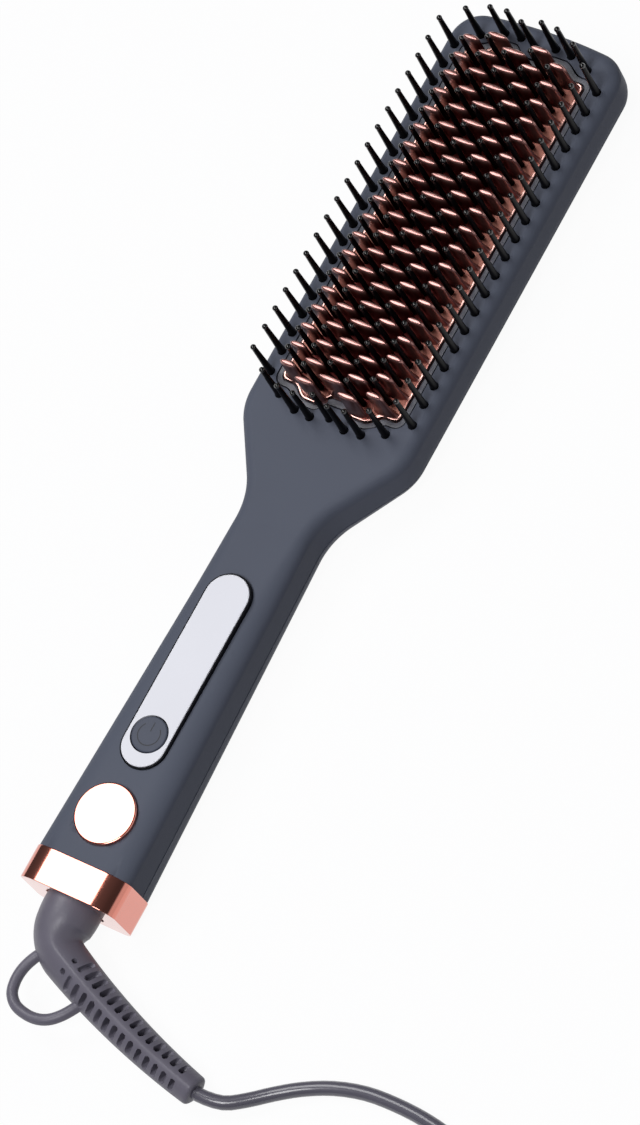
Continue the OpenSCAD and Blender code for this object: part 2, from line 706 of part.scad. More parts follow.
// ---------------------------------------------------------------- trim
module strip_base() {
    color("#1C1C1F") difference() {
        union() {
            layer(wall_z - flange_t, flange_t) strip_outline(strip_flange);
            layer(wall_z - flange_t, strip_top - strip_plate_t - wall_z + flange_t)
                strip_outline(0);
        }
        translate([button_x, 0, wall_z - flange_t - 1]) cylinder(d = button_d + 2 * button_gap, h = 8);
        layer(wall_z - flange_t - 1, 3) stadium(button_x + 8, strip_x1 - 2.5, strip_w - 5);
    }
}
module strip_plate() {
    color("#E4E4EA") layer(strip_top - strip_plate_t, strip_plate_t) difference() {
        strip_outline(-plate_edge);
        translate([button_x, 0]) circle(d = button_d + 2 * button_gap);
    }
}
module badge() {
    h = top(badge_x) + badge_proud - badge_z;
    c = badge_d / 2 - 1.2;
    r = (c * c + badge_dome * badge_dome) / (2 * badge_dome);
    dome = [for (i = [0:5]) let (a = asin(c / r) * (5 - i) / 5)
        [r * sin(a), h - r + r * cos(a)]];
    color("#D69682") translate([badge_x, 0, badge_z]) rotate_extrude($fn = 72) polygon(concat(
        [[0, 0], [badge_d / 2, 0], [badge_d / 2, h - badge_dome - 0.35],
         [badge_d / 2 - 0.35, h - badge_dome]], dome));
    color("#D69682") translate([badge_x, 0, wall_z - 0.5])
        cylinder(r = stud_r, h = badge_z - wall_z + 0.6, $fn = 24);
}
module tail_collar() {
    color("#33353C") difference() {
        along_x(tail_x, collar_x) tail_section(collar_step);
        along_x(relief_x, collar_x + 1) tail_section(-spigot_in + 0.05);
        on_swivel(tail_x - 1) cylinder(r = neck_d / 2 + 0.35, h = 4);
    }
}

// ---------------------------------------------------------------- swivel
module swivel_socket() {
    color("#D8D8D2") on_swivel(socket_x0) difference() {
        cylinder(r = socket_r, h = socket_x1 - socket_x0);
        translate([0, 0, -1]) cylinder(r = barrel_r + barrel_clear, h = 20);
    }
}
module swivel_barrel() {
    big = socket_x1 + 2.2 - relief_x;
    color("#26262A") on_swivel(relief_x) difference() {
        union() {
            cylinder(r = barrel_r, h = big);
            cylinder(r = ring_seat_r, h = barrel_x1 - relief_x);
            translate([0, 0, ring_xs[0] + ring_w - relief_x])
                cylinder(r = ring_seat_r + 0.5, h = ring_xs[1] - ring_xs[0] - ring_w);
        }
        translate([0, 0, clip_x - relief_x]) difference() {
            cylinder(r = barrel_r + 1, h = clip_t);
            translate([0, 0, -1]) cylinder(r = barrel_r - 0.6, h = 3);
        }
        translate([0, 0, -1]) cylinder(r = 2.2, h = barrel_x1 - relief_x + 2);
    }
}
module retaining_clip() {
    color("silver") on_swivel(clip_x) difference() {
        cylinder(r = barrel_r + 1.5, h = clip_t);
        translate([0, 0, -1]) cylinder(r = barrel_r - 0.6, h = 3);
    }
}
module slip_rings() {
    color("#C9963E") for (x = ring_xs) on_swivel(x) difference() {
        cylinder(r = ring_r, h = ring_w);
        translate([0, 0, -1]) cylinder(r = ring_seat_r, h = ring_w + 2);
    }
}
module contact_springs() {
    leg_x = board_x0 + 0.3;
    color("#D8B25A") for (i = [0, 1]) {
        y = i == 0 ? 1.2 : -2.8;
        translate([ring_xs[i] + 0.2, y, leaf_z]) cube([leg_x - ring_xs[i] + 0.2, 1.6, leaf_t]);
        translate([leg_x, y, board_top]) cube([leaf_t, 1.6, leaf_z - board_top + leaf_t]);
    }
}

// strain relief: straight neck, tight elbow to the side, then a long ribbed arm
relief_straight = 6;
elbow_r = 9;
elbow_a = 65.4;
arm_len = 54;
arm_a = 12.6;
arm_r = arm_len / (arm_a * PI / 180);
elbow_len = elbow_r * elbow_a * PI / 180;
relief_end_z = 5.2;
relief_len = relief_straight + elbow_len + arm_len;
elbow_c = [tail_x - relief_straight, -elbow_r];
arm_p = elbow_c + elbow_r * [-sin(elbow_a), cos(elbow_a)];
function ease(t) = t < 0.3 ? t * t / 0.51 : (t - 0.15) / 0.85;
// centre line, with the heading turned from -X towards -Y
function relief_turn(s) = s < relief_straight ? 0 :
    s < relief_straight + elbow_len ? (s - relief_straight) / elbow_r * 180 / PI :
    elbow_a + (s - relief_straight - elbow_len) / arm_r * 180 / PI;
function relief_xy(s) = let (h = relief_turn(s)) s < relief_straight ? [tail_x - s, 0] :
    s < relief_straight + elbow_len ? elbow_c + elbow_r * [-sin(h), cos(h)] :
    arm_p + arm_r * [sin(elbow_a) - sin(h), cos(h) - cos(elbow_a)];
function arm_t(s) = (s - relief_straight - elbow_len) / arm_len;
function relief_z(s) = arm_t(s) < 0 ? swivel_z : mix(swivel_z, relief_end_z, ease(arm_t(s)));
function relief_point(s) = let (p = relief_xy(s)) [p.x, p.y, relief_z(s)];
function relief_dir(s) = unit(relief_point(s + 0.1) - relief_point(s - 0.1));
function relief_r(s) = arm_t(s) > 0 ? mix(sleeve_d, sleeve_end_d, arm_t(s)) / 2 :
    mix(neck_d, sleeve_d, smooth((s - 2) / (relief_straight + elbow_len - 2))) / 2;
// section angles; the flagged ones stay at full radius in a slot and form the two spines
spine = [[-73, 0], [-48, 0], [-24, 0], [0, 0], [24, 0], [48, 0], [73, 0], [75, 1], [90, 1], [105, 1]];
// the section turns from round at the neck to a square with its round corners up, down and sideways
square_p = 1.45;
function relief_p(s) = mix(2, square_p, smooth((s - relief_straight) / elbow_len));
function corner_f(t, p) = pow(pow(abs(cos(t)), p) + pow(abs(sin(t)), p), -1 / p);
function relief_ring(s, depth) = let (p = relief_point(s), d = relief_dir(s), r = relief_r(s),
    u = unit(cross([0, 0, 1], d)), v = cross(d, u))
    [for (k = [0, 1], a = spine) let (t = a[0] + 180 * k, f = corner_f(t, relief_p(s)),
        q = a[1] == 1 ? r * f : r * f - depth) p + q * (cos(t) * u + sin(t) * v)];
slot_n = 14;
slot_w = 1.6;
slot_core = 3.2;
slot_pitch = (arm_len - 6) / slot_n;
slot_s0 = relief_straight + elbow_len + 2.5;
module strain_relief() {
    start = [for (s = [-1.5, 2, relief_straight - 1]) relief_ring(s, 0)];
    turn = [for (i = [0:5]) relief_ring(relief_straight + i / 5 * elbow_len, 0)];
    slots = [for (i = [0:slot_n - 1], j = [0:3])
        let (s = slot_s0 + i * slot_pitch, dp = (relief_r(s) - slot_core) * (i < 3 ? 0.3 + 0.2 * i : 1))
        relief_ring(s + [0, 0.06, slot_w - 0.06, slot_w][j], j == 0 || j == 3 ? 0 : dp)];
    end = [relief_ring(relief_len - 0.7, 0), relief_ring(relief_len, 0)];
    nose = [for (p = end[1]) relief_point(relief_len) + 0.88 * (p - relief_point(relief_len))];
    color("#26262A") tube(concat(start, turn, slots, [end[0], nose]));
}
// ---------------------------------------------------------------- cord
cord_r = cord_d / 2;
cord_n = 8;
turns = 2.75;
layers = 4;
coil_out = 30.2;
coil_in = coil_out - turns * coil_step;
coil_c = [-187, -146];
coil_a = [coil_c.x + coil_out, coil_c.y];
function spline(p, i, t) = 0.5 * (2 * p[i + 1] + (p[i + 2] - p[i]) * t
    + (2 * p[i] - 5 * p[i + 1] + 4 * p[i + 2] - p[i + 3]) * t * t
    + (3 * p[i + 1] - p[i] - 3 * p[i + 2] + p[i + 3]) * t * t * t);
// smooth line through all points but the first and last, m steps a span
function through(p, m) = concat([for (i = [0:len(p) - 4], j = [0:m - 1]) spline(p, i, j / m)],
                                [p[len(p) - 2]]);
relief_end = relief_point(relief_len);
// flexible hanging loop, both ends sunk in the relief's arm
loop_o = [tail_x - 15, 0, swivel_z];
loop_route = [[3, -1.5, 0], [-0.5, 1.8, 0], [-4, 3.7, 0], [-7.3, 4.6, 0], [-10.6, 4.6, 0],
    [-13.7, 3.6, 0], [-16.1, 0.9, 0], [-17.1, -3, 0], [-17, -6.7, 0], [-15.8, -9.9, 0],
    [-13.5, -12.6, 0], [-10.4, -14.8, 0], [-7, -16.4, 0], [-3.5, -17.6, 0]];
loop_pts = [for (p = through(loop_route, 2)) loop_o + p];
module hanging_loop() {
    color("#26262A") cable(loop_pts, loop_d / 2, 12);
}
relief_end_d = relief_dir(relief_len);
lead_pts = concat([relief_end], through(concat(
    [relief_end - 4 * relief_end_d, relief_end + relief_end_d],
    [[-171.2, -65, 4.3], [-169, -71, 3.2], [-165, -77, 2.3], [-160, -83, cord_r],
     [-155.5, -90.5, cord_r], [-153, -99, cord_r], [-152, -108, cord_r], [-152, -117, cord_r],
     [-153, -126, cord_r], [-155.2, -135, cord_r], [-156.6, -142, cord_r],
     [coil_a.x, coil_a.y, cord_r], [coil_a.x, coil_a.y - 6, cord_r]]), 2));
module cord_lead() {
    color("#2B2B30") cable(lead_pts, cord_r, cord_n);
}
// wound in layers, inwards and outwards in turn, clockwise from above; t counts turns
coil_turns = turns * layers;
function coil_layer(t) = floor(t / turns + 1e-6);
function coil_radius(t) = let (k = coil_layer(t), f = t - k * turns)
    k % 2 == 0 ? coil_out - f * coil_step : coil_in + f * coil_step;
function climb(t, i) = smooth((t - (turns * i - 0.25)) / 0.5);
function coil_height(t) = cord_r + coil_step * (climb(t, 1) + climb(t, 2) + climb(t, 3));
function coil_point(t) = let (r = coil_radius(min(t, coil_turns - 1e-4)), a = -360 * t)
    [coil_c.x + r * cos(a), coil_c.y + r * sin(a), coil_height(t)];
coil_pts = [for (i = [0:coil_turns * 24]) coil_point(i / 24)];
module cord_coil() {
    color("#2B2B30") cable(coil_pts, cord_r, 6);
}
coil_b = coil_point(coil_turns);
plug_p = [-192, -192, 5];
tail_pts = concat(through([[coil_b.x, coil_b.y + 6, coil_b.z], coil_b, [-156.8, -153, 15.1],
    [-156.9, -161, 13.2], [-157.6, -169, 10.8], [-160, -177.5, 8.4], [-164.6, -185, 6.4],
    [-170.3, -190.2, 5.2], plug_p + [17, 0, 0], plug_p + [9, 0, 0]], 2), [plug_p + [16, 0, 0]]);
module cord_tail() {
    color("#2B2B30") cable(tail_pts, cord_r, cord_n);
}
function along(p) = [for (i = [0:len(p) - 2]) norm(p[i + 1] - p[i])];
function total(v) = v * [for (x = v) 1];
echo(cord_length = total(along(lead_pts)) + total(along(coil_pts)) + total(along(tail_pts)));
// least gap between turns of the coil, taken between ring centres
echo(coil_gap = min([for (i = [0:2:len(coil_pts) - 13], j = [i + 12:len(coil_pts) - 1])
    norm(coil_pts[i] - coil_pts[j])]) - cord_d);

// moulded plug lying on the floor, blades towards -X
plug_len = 26;
module plug_body() {
    color("#26262A") translate(plug_p) {
        rotate([0, -90, 0]) translate([0, 0, -16]) {
            cylinder(r1 = 2.6, r2 = 4.2, h = 16.5);
            for (i = [0:4]) translate([0, 0, 1.5 + 3 * i]) cylinder(r = 3 + 0.32 * i, h = 1.4);
        }
        translate([-plug_len, 0, -5]) linear_extrude(10) difference() {
            union() {
                translate([0, -9]) square([plug_len - 8, 18]);
                translate([plug_len - 10, -6]) square([10, 12]);
                for (s = [-1, 1]) translate([plug_len - 10, s * 5]) circle(4.2);
            }
            for (s = [-1, 1]) translate([5, s * 10.2]) circle(2.6);
        }
    }
}
module plug_blades() {
    color("#C9CCD0") for (s = [-1, 1])
        translate([plug_p.x - plug_len - 17, plug_p.y + s * 6.35 - 0.75, plug_p.z - 3.1])
            difference() {
                cube([17, 1.5, 6.2]);
                translate([3, -1, 3.1]) rotate([-90, 0, 0]) cylinder(r = 1.5, h = 4);
            }
}

front_housing();
back_housing();
heater_bezel();
heater_plate();
inner_bristles();
outer_bristles();
ptc_heaters();
electrode_strips();
mica_sheet();
clamp_plate();
clamp_screws();
thermistor();
thermal_fuse();
heater_leads();
main_board();
board_parts();
board_screws();
tact_switch();
switch_plunger();
power_button();
strip_base();
strip_plate();
badge();
tail_collar();
swivel_socket();
swivel_barrel();
retaining_clip();
slip_rings();
contact_springs();
strain_relief();
hanging_loop();
cord_lead();
cord_coil();
cord_tail();
plug_body();
plug_blades();
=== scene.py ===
import bpy, bmesh, json, math
from mathutils import Vector, Matrix

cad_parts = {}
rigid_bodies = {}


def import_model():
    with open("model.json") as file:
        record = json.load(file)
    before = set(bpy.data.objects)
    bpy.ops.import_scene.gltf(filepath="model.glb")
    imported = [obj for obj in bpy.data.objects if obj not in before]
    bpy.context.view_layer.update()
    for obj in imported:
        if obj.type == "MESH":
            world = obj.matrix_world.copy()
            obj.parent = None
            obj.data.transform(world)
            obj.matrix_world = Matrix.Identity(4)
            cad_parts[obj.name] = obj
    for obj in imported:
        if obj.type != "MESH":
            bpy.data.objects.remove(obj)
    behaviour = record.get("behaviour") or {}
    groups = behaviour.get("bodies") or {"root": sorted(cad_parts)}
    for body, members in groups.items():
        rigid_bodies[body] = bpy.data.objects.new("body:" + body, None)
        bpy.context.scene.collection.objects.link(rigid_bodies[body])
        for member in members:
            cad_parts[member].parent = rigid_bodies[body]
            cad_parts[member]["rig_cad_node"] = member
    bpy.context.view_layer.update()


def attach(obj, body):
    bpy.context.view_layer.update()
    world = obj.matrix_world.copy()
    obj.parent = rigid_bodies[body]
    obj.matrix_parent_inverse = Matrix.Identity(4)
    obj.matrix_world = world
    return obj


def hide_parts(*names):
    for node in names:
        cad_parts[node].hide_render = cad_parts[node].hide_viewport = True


# Lengths are in mm and turn to metres through MM; the camera, floor and lights are in metres.
MM = 0.001

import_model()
scene = bpy.context.scene
scene.view_settings.view_transform = "Standard"
cad = {o["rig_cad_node"]: o for o in bpy.data.objects if "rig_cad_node" in o}

# ------------------------------------------------------------------ camera
# solved from the bristle lattice and the housing's outline in the photograph
LENS, SENSOR_HEIGHT = 156.365, 36
CAMERA_AT = (-0.33425, -0.622418, 1.153445)
RIGHT, DOWN, AHEAD = (Vector(v) for v in (
    (0.471513, -0.825130, -0.311185), (-0.850834, -0.332884, -0.406534),
    (0.231855, 0.456453, -0.859008)))
view = bpy.data.cameras.new("view")
view.sensor_fit = "VERTICAL"
view.sensor_height = SENSOR_HEIGHT
view.lens = LENS
camera = bpy.data.objects.new("camera", view)
scene.collection.objects.link(camera)
camera.matrix_world = Matrix.Translation(CAMERA_AT) @ Matrix(
    (RIGHT, -DOWN, -AHEAD)).transposed().to_4x4()
scene.camera = camera


# ------------------------------------------------------------------ numbers
def mix(a, b, t):
    return a + (b - a) * t


def smooth(t):
    """0 to 1 with level ends, for t from 0 to 1."""
    return 0.5 - 0.5 * math.cos(math.pi * min(1.0, max(0.0, t)))


def sind(a):
    return math.sin(math.radians(a))


def cosd(a):
    return math.cos(math.radians(a))


def unit(v):
    return Vector(v).normalized()


def srgb(r, g, b):
    """Linear colour of 8-bit screen values."""
    def linear(c):
        return c / 12.92 if c <= 0.04045 else ((c + 0.055) / 1.055) ** 2.4
    return tuple(linear(c / 255) for c in (r, g, b)) + (1.0,)


# ------------------------------------------------------------------ materials
def node(tree, kind, inputs=None, **settings):
    """New shader node. inputs gives each socket its value, or the output that feeds it."""
    made = tree.nodes.new("ShaderNode" + kind)
    for key, value in settings.items():
        setattr(made, key, value)
    for key, value in (inputs or {}).items():
        if isinstance(value, bpy.types.NodeSocket):
            tree.links.new(value, made.inputs[key])
        else:
            made.inputs[key].default_value = value
    return made


def material(name, color, rough=0.5, metal=0.0, coat=0.0, spec=0.5, tone=0.06, tone_scale=60,
             grain=0.0, grain_scale=1500, rough_var=0.04, stretch=(1, 1, 1), ior=1.45,
             coat_ior=1.5, coat_rough=0.08):
    """Principled material with a slow tone change, a fine grain in bump and an uneven gloss."""
    made = bpy.data.materials.new(name)
    made.use_nodes = True
    tree = made.node_tree
    shader = tree.nodes["Principled BSDF"]
    for key, value in (("Metallic", metal), ("Specular IOR Level", spec), ("IOR", ior),
                       ("Coat Weight", coat), ("Coat Roughness", coat_rough),
                       ("Coat IOR", coat_ior)):
        shader.inputs[key].default_value = value
    coords = node(tree, "TexCoord")
    place = node(tree, "Mapping", {"Vector": coords.outputs["Object"], "Scale": stretch})
    slow = node(tree, "TexNoise", {"Vector": place.outputs[0], "Scale": tone_scale, "Detail": 3})
    tones = node(tree, "ValToRGB", {"Fac": slow.outputs["Fac"]})
    for stop, position, share in zip(tones.color_ramp.elements, (0.3, 0.7), (1 - tone, 1 + tone)):
        stop.position = position
        stop.color = tuple(min(1, c * share) for c in color[:3]) + (1,)
    tree.links.new(tones.outputs["Color"], shader.inputs["Base Color"])
    fine = node(tree, "TexNoise", {"Vector": place.outputs[0], "Scale": grain_scale, "Detail": 2})
    gloss = node(tree, "MapRange", {"Value": fine.outputs["Fac"],
                                    "To Min": max(0.01, rough - rough_var),
                                    "To Max": min(1.0, rough + rough_var)})
    tree.links.new(gloss.outputs[0], shader.inputs["Roughness"])
    if grain:
        bump = node(tree, "Bump", {"Height": fine.outputs["Fac"], "Strength": grain,
                                   "Distance": 0.0001})
        tree.links.new(bump.outputs[0], shader.inputs["Normal"])
    return made


MAT = {
    "paint": material("paint_satin_grey", srgb(91, 96, 110), 0.5, spec=0.12, tone=0.03,
                      tone_scale=25, grain=0.12, grain_scale=2600, rough_var=0.03),
    "paint_back": material("paint_satin_grey_back", srgb(88, 93, 107), 0.5, spec=0.3,
                           tone=0.03, tone_scale=25, grain=0.12, grain_scale=2600),
    "rose": material("rose_gold_mirror", srgb(219, 131, 113), 0.13, 1.0, coat=1.0, coat_ior=1.6,
                     coat_rough=0.03, tone=0.03, tone_scale=90, rough_var=0.015),
    "bead": material("rose_gold_satin", srgb(212, 164, 154), 0.24, 1.0, coat=0.5,
                     tone=0.03, tone_scale=90, rough_var=0.015),
    "fin": material("bronze_anodised", srgb(184, 132, 126), 0.32, 0.85, coat=0.5, coat_ior=1.6,
                    coat_rough=0.16, tone=0.06, tone_scale=120, rough_var=0.01),
    "comb_base": material("bronze_anodised_base", srgb(178, 120, 106), 0.42, 0.6,
                          tone=0.06, tone_scale=120, rough_var=0.01),
    "black": material("nylon_black_satin", srgb(10, 9, 12), 0.30, spec=0.1, tone=0.1,
                      grain=0.04, grain_scale=900),
    "ball": material("ball_tip_gloss", srgb(8, 8, 10), 0.06, coat=1.0, coat_ior=1.5,
                     coat_rough=0.04, spec=0.3, tone=0.1, rough_var=0.02),
    "satin_black": material("trim_black_gloss", srgb(13, 14, 20), 0.4, spec=0.12, tone=0.08),
    "bezel": material("bezel_grey", srgb(92, 94, 104), 0.38, tone=0.05, grain=0.15,
                      grain_scale=2200),
    "silver": material("trim_silver_white", srgb(238, 239, 248), 0.38, spec=0.25, tone=0.012,
                       tone_scale=40, grain=0.06, grain_scale=3000, rough_var=0.03),
    "button": material("button_grey", srgb(80, 85, 100), 0.46, spec=0.25, tone=0.04, grain=0.2,
                       grain_scale=3200),
    # dark colour of the power sign: painted shade standing in for an engraved groove
    "mark": material("engraving_dark", srgb(34, 36, 46), 0.5, tone=0.05),
    "vinyl": material("vinyl_dark", srgb(110, 107, 120), 0.38, spec=0.45, tone=0.05,
                      tone_scale=90, grain=0.45, grain_scale=1500, rough_var=0.06),
    "cord": material("cord_vinyl", srgb(98, 96, 108), 0.24, coat=0.4, tone=0.04, tone_scale=70,
                     grain=0.12, grain_scale=1200),
    "plug": material("plug_vinyl", srgb(62, 61, 70), 0.48, spec=0.45, tone=0.05, grain=0.4,
                     grain_scale=1500),
    "blade": material("blade_nickel", srgb(205, 205, 210), 0.22, 1.0, tone=0.05,
                      stretch=(1, 8, 8), grain=0.15, grain_scale=900),
    "alu": material("aluminium_sheet", srgb(190, 192, 196), 0.36, 1.0, tone=0.06,
                    stretch=(1, 12, 12), grain=0.2, grain_scale=700),
    "steel": material("steel_zinc", srgb(180, 182, 186), 0.30, 1.0, tone=0.08, grain=0.1),
    "brass": material("contact_brass", srgb(214, 170, 92), 0.28, 1.0, tone=0.08, grain=0.1),
    "ceramic": material("ceramic_matt", srgb(204, 198, 184), 0.75, tone=0.08, grain=0.5,
                        grain_scale=900),
    "mica": material("mica_sheet", srgb(186, 172, 138), 0.42, tone=0.16, tone_scale=200,
                     grain=0.3, grain_scale=700),
    "resin": material("sensor_resin", srgb(178, 96, 48), 0.3, coat=0.4, tone=0.1),
    "silicone": material("lead_silicone", srgb(160, 46, 40), 0.55, tone=0.06, grain=0.3),
    "pcb": material("board_laminate", srgb(32, 92, 58), 0.35, coat=0.2, tone=0.16,
                    tone_scale=260, grain=0.25, grain_scale=500),
    "chip": material("part_moulded", srgb(40, 42, 46), 0.5, tone=0.08, grain=0.5,
                     grain_scale=2000),
    "white_pom": material("bearing_white", srgb(224, 224, 216), 0.45, tone=0.03, grain=0.2),
    "red_pom": material("plunger_red", srgb(196, 58, 44), 0.4, tone=0.05, grain=0.2),
}
# dark red of the shade painted between the comb's fins and low on their flanks
PAINTED_SHADE_RED = srgb(92, 17, 13)


def paint_comb_shade(name):
    """Paints shade on the comb: mixes its colour towards a dark red by the painted shade stored on
    each point.
    """
    tree = MAT[name].node_tree
    base = tree.nodes["Principled BSDF"].inputs["Base Color"]
    depth = node(tree, "Attribute", attribute_name="depth")
    colour = node(tree, "Mix", {"Factor": depth.outputs["Fac"], "A": base.links[0].from_socket,
                                "B": PAINTED_SHADE_RED}, data_type="RGBA")
    tree.links.new(colour.outputs["Result"], base)


# painted shade on the fins and on the plate between them
paint_comb_shade("fin")
paint_comb_shade("comb_base")


# ------------------------------------------------------------------ mesh helpers
def build(name, shells, mats, sharp=32, weighted=True):
    """Object from closed shells in mm: (verts, faces), and the material's index if not 0."""
    verts, faces, slots = [], [], []
    for v, f, *slot in shells:
        first = len(verts)
        verts += [tuple(c * MM for c in p) for p in v]
        faces += [tuple(i + first for i in q) for q in f]
        slots += (slot or [0]) * len(f)
    mesh = bpy.data.meshes.new(name)
    mesh.from_pydata(verts, [], faces)
    mesh.polygons.foreach_set("material_index", slots)
    bm = bmesh.new()
    bm.from_mesh(mesh)
    bmesh.ops.recalc_face_normals(bm, faces=bm.faces)
    bm.to_mesh(mesh)
    bm.free()
    for mat in mats:
        mesh.materials.append(MAT[mat])
    o = bpy.data.objects.new(name, mesh)
    scene.collection.objects.link(o)
    return shade(o, sharp, weighted)


def shade(o, sharp=32, weighted=True):
    """Smooth shading with edges above sharp degrees kept, and normals weighted by area."""
    o.data.shade_smooth()
    o.data.set_sharp_from_angle(angle=math.radians(sharp))
    if weighted:
        w = o.modifiers.new("normals", "WEIGHTED_NORMAL")
        w.keep_sharp = True
        w.weight = 100
        bake(o)
    return o


def bake(o):
    """Applies the modifiers of o."""
    graph = bpy.context.evaluated_depsgraph_get()
    mesh = bpy.data.meshes.new_from_object(o.evaluated_get(graph), depsgraph=graph,
                                           preserve_all_data_layers=True)
    old = o.data
    o.modifiers.clear()
    o.data = mesh
    bpy.data.meshes.remove(old)
    mesh.name = o.name


def cut(o, shells, sharp=32):
    """Takes closed shells away from o."""
    tool = build(o.name + "_cutter", shells, [], weighted=False)
    b = o.modifiers.new("cut", "BOOLEAN")
    b.operation, b.solver, b.object = "DIFFERENCE", "EXACT", tool
    bake(o)
    bpy.data.objects.remove(tool)
    return shade(o, sharp)


def ride(o, body, *nodes, slot=None):
    """Puts o on a body, in the place of the CAD nodes; slot is not used."""
    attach(o, body)
    if nodes:
        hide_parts(*nodes)
    return o


def dress(cad_name, mat):
    """Gives a CAD node that stays its procedural material."""
    o = cad[cad_name]
    for i in range(len(o.data.materials)):
        o.data.materials[i] = MAT[mat]
        o.material_slots[i].material = MAT[mat]
    if not o.data.materials:
        o.data.materials.append(MAT[mat])


def at(line, z):
    return [(x, y, z) for x, y in line]


def skin(rings, wrap=False, caps=True):
    """Quads between rings of one count; wrap joins the last ring to the first."""
    n, k = len(rings[0]), len(rings)
    f = []
    for j in range(k if wrap else k - 1):
        a, b = j * n, ((j + 1) % k) * n
        f += [(a + i, a + (i + 1) % n, b + (i + 1) % n, b + i) for i in range(n)]
    if caps and not wrap:
        f.append(tuple(range(n - 1, -1, -1)))
        f.append(tuple((k - 1) * n + i for i in range(n)))
    return [p for r in rings for p in r], f


def lathe(profile, n, centre=(0, 0, 0), axis="z", wrap=False):
    """Turns (r, h) points round axis in n steps; a point with r = 0 becomes a pole."""
    def place(r, h, a):
        x, y = r * math.cos(a), r * math.sin(a)
        p = (x, y, h) if axis == "z" else (h, x, y)
        return tuple(p[i] + centre[i] for i in range(3))
    v, rows, f = [], [], []
    for r, h in profile:
        if r < 1e-6:
            rows.append([len(v)] * n)
            v.append(place(0, h, 0))
        else:
            rows.append([len(v) + i for i in range(n)])
            v += [place(r, h, 2 * math.pi * i / n) for i in range(n)]
    m = len(rows)
    for j in range(m if wrap else m - 1):
        a, b = rows[j], rows[(j + 1) % m]
        for i in range(n):
            face = []
            for corner in (a[i], a[(i + 1) % n], b[(i + 1) % n], b[i]):
                if corner not in face:
                    face.append(corner)
            if len(face) > 2:
                f.append(tuple(face))
    return v, f


def prism(points, z0, z1):
    return skin([at(points, z0), at(points, z1)])


def pillar(x, y, r, z0, z1, n=28):
    return lathe([(0, z0), (r, z0), (r, z1), (0, z1)], n, (x, y, 0))


def slab(outline, z0, z1, edge, steps=3):
    """Prism of a convex outline given as (x, y, nx, ny) with rounded top and bottom edges."""
    angles = [90 * k / steps for k in range(steps + 1)]
    levels = [(a, z0 + edge * (1 - cosd(a))) for a in angles]
    levels += [(a, z1 - edge * (1 - cosd(a))) for a in reversed(angles)]
    return skin([[(x - nx * edge * (1 - sind(a)), y - ny * edge * (1 - sind(a)), z)
                  for x, y, nx, ny in outline] for a, z in levels])


def arc(cx, cy, r, a0, a1, n):
    return [(cx + r * cosd(mix(a0, a1, i / n)), cy + r * sind(mix(a0, a1, i / n)))
            for i in range(n + 1)]


def with_normals(points):
    """Adds outward normals to a closed anticlockwise line of (x, y)."""
    n, out = len(points), []
    for i, (x, y) in enumerate(points):
        (ax, ay), (bx, by) = points[i - 1], points[(i + 1) % n]
        d = math.hypot(bx - ax, by - ay) or 1
        out.append((x, y, (by - ay) / d, -(bx - ax) / d))
    return out


def inset(line, d):
    """Moves a line of (x, y, nx, ny) inwards by d."""
    return [(x - nx * d, y - ny * d) for x, y, nx, ny in line]


def stadium(x0, x1, w, n=24, m=1):
    """Line of (x, y, nx, ny) with round ends of n steps, and m points on each side."""
    r, out = w / 2, []
    for centre, a0, to, side in ((x1 - r, -90, x0 + r, 1), (x0 + r, 90, x1 - r, -1)):
        for i in range(n + 1):
            a = mix(a0, a0 + 180, i / n)
            out.append((centre + r * cosd(a), r * sind(a), cosd(a), sind(a)))
        out += [(mix(centre, to, j / (m + 1)), side * r, 0, side) for j in range(1, m + 1)]
    return out


def headings(pts):
    k = len(pts) - 1
    return [unit(pts[min(k, i + 1)] - pts[max(0, i - 1)]) for i in range(k + 1)]


def across(d):
    """Two directions across d, the first level."""
    level = unit(Vector((0, 0, 1)).cross(d))
    return level, d.cross(level)


def sweep(pts, radius, n=20):
    """Tube of n sides through pts."""
    rings = []
    for p, d in zip(pts, headings(pts)):
        u, w = across(d)
        rings.append([tuple(p + radius * (cosd(360 * j / n) * u + sind(360 * j / n) * w))
                      for j in range(n)])
    return skin(rings)


def through(route, m):
    """Smooth line through all points but the first and last, m steps a span."""
    p = [Vector(q) for q in route]
    out = []
    for i in range(len(p) - 3):
        a, b, c, d = p[i:i + 4]
        for j in range(m):
            t = j / m
            out.append(0.5 * (2 * b + (c - a) * t + (2 * a - 5 * b + 4 * c - d) * t * t
                              + (3 * b - a - 3 * c + d) * t ** 3))
    return out + [p[-2]]


# ------------------------------------------------------------------ strain relief line and cord
TAIL_X, FACE_Z, TAIL_RISE = -139.5, 18.0, 1.3
TAIL_Z = FACE_Z + TAIL_RISE
SWIVEL_Z = TAIL_Z / 2
# the relief's line: a straight neck, an elbow, and a slightly bowed arm that sinks to the table
R_STRAIGHT, R_ELBOW, R_ELBOW_A, R_ARM, R_ARM_A = 6.0, 9.0, 65.4, 54.0, 12.6
R_END_Z, R_EASE, R_PLAIN = 5.2, 0.3, 2
R_NECK_D, R_SLEEVE_D, R_END_D = 16.5, 12.8, 8.6
R_ELBOW_LEN = math.radians(R_ELBOW_A) * R_ELBOW
ARM_S0 = R_STRAIGHT + R_ELBOW_LEN
R_LEN = ARM_S0 + R_ARM
R_BOW = R_ARM / math.radians(R_ARM_A)
ELBOW_C = (TAIL_X - R_STRAIGHT, -R_ELBOW)
ARM_P = (ELBOW_C[0] - R_ELBOW * sind(R_ELBOW_A), ELBOW_C[1] + R_ELBOW * cosd(R_ELBOW_A))


def arm_t(s):
    return (s - ARM_S0) / R_ARM


def relief_turn(s):
    """Heading at distance s along the relief, in degrees from the handle's axis."""
    if s < R_STRAIGHT:
        return 0.0
    if s < ARM_S0:
        return math.degrees((s - R_STRAIGHT) / R_ELBOW)
    return R_ELBOW_A + math.degrees((s - ARM_S0) / R_BOW)


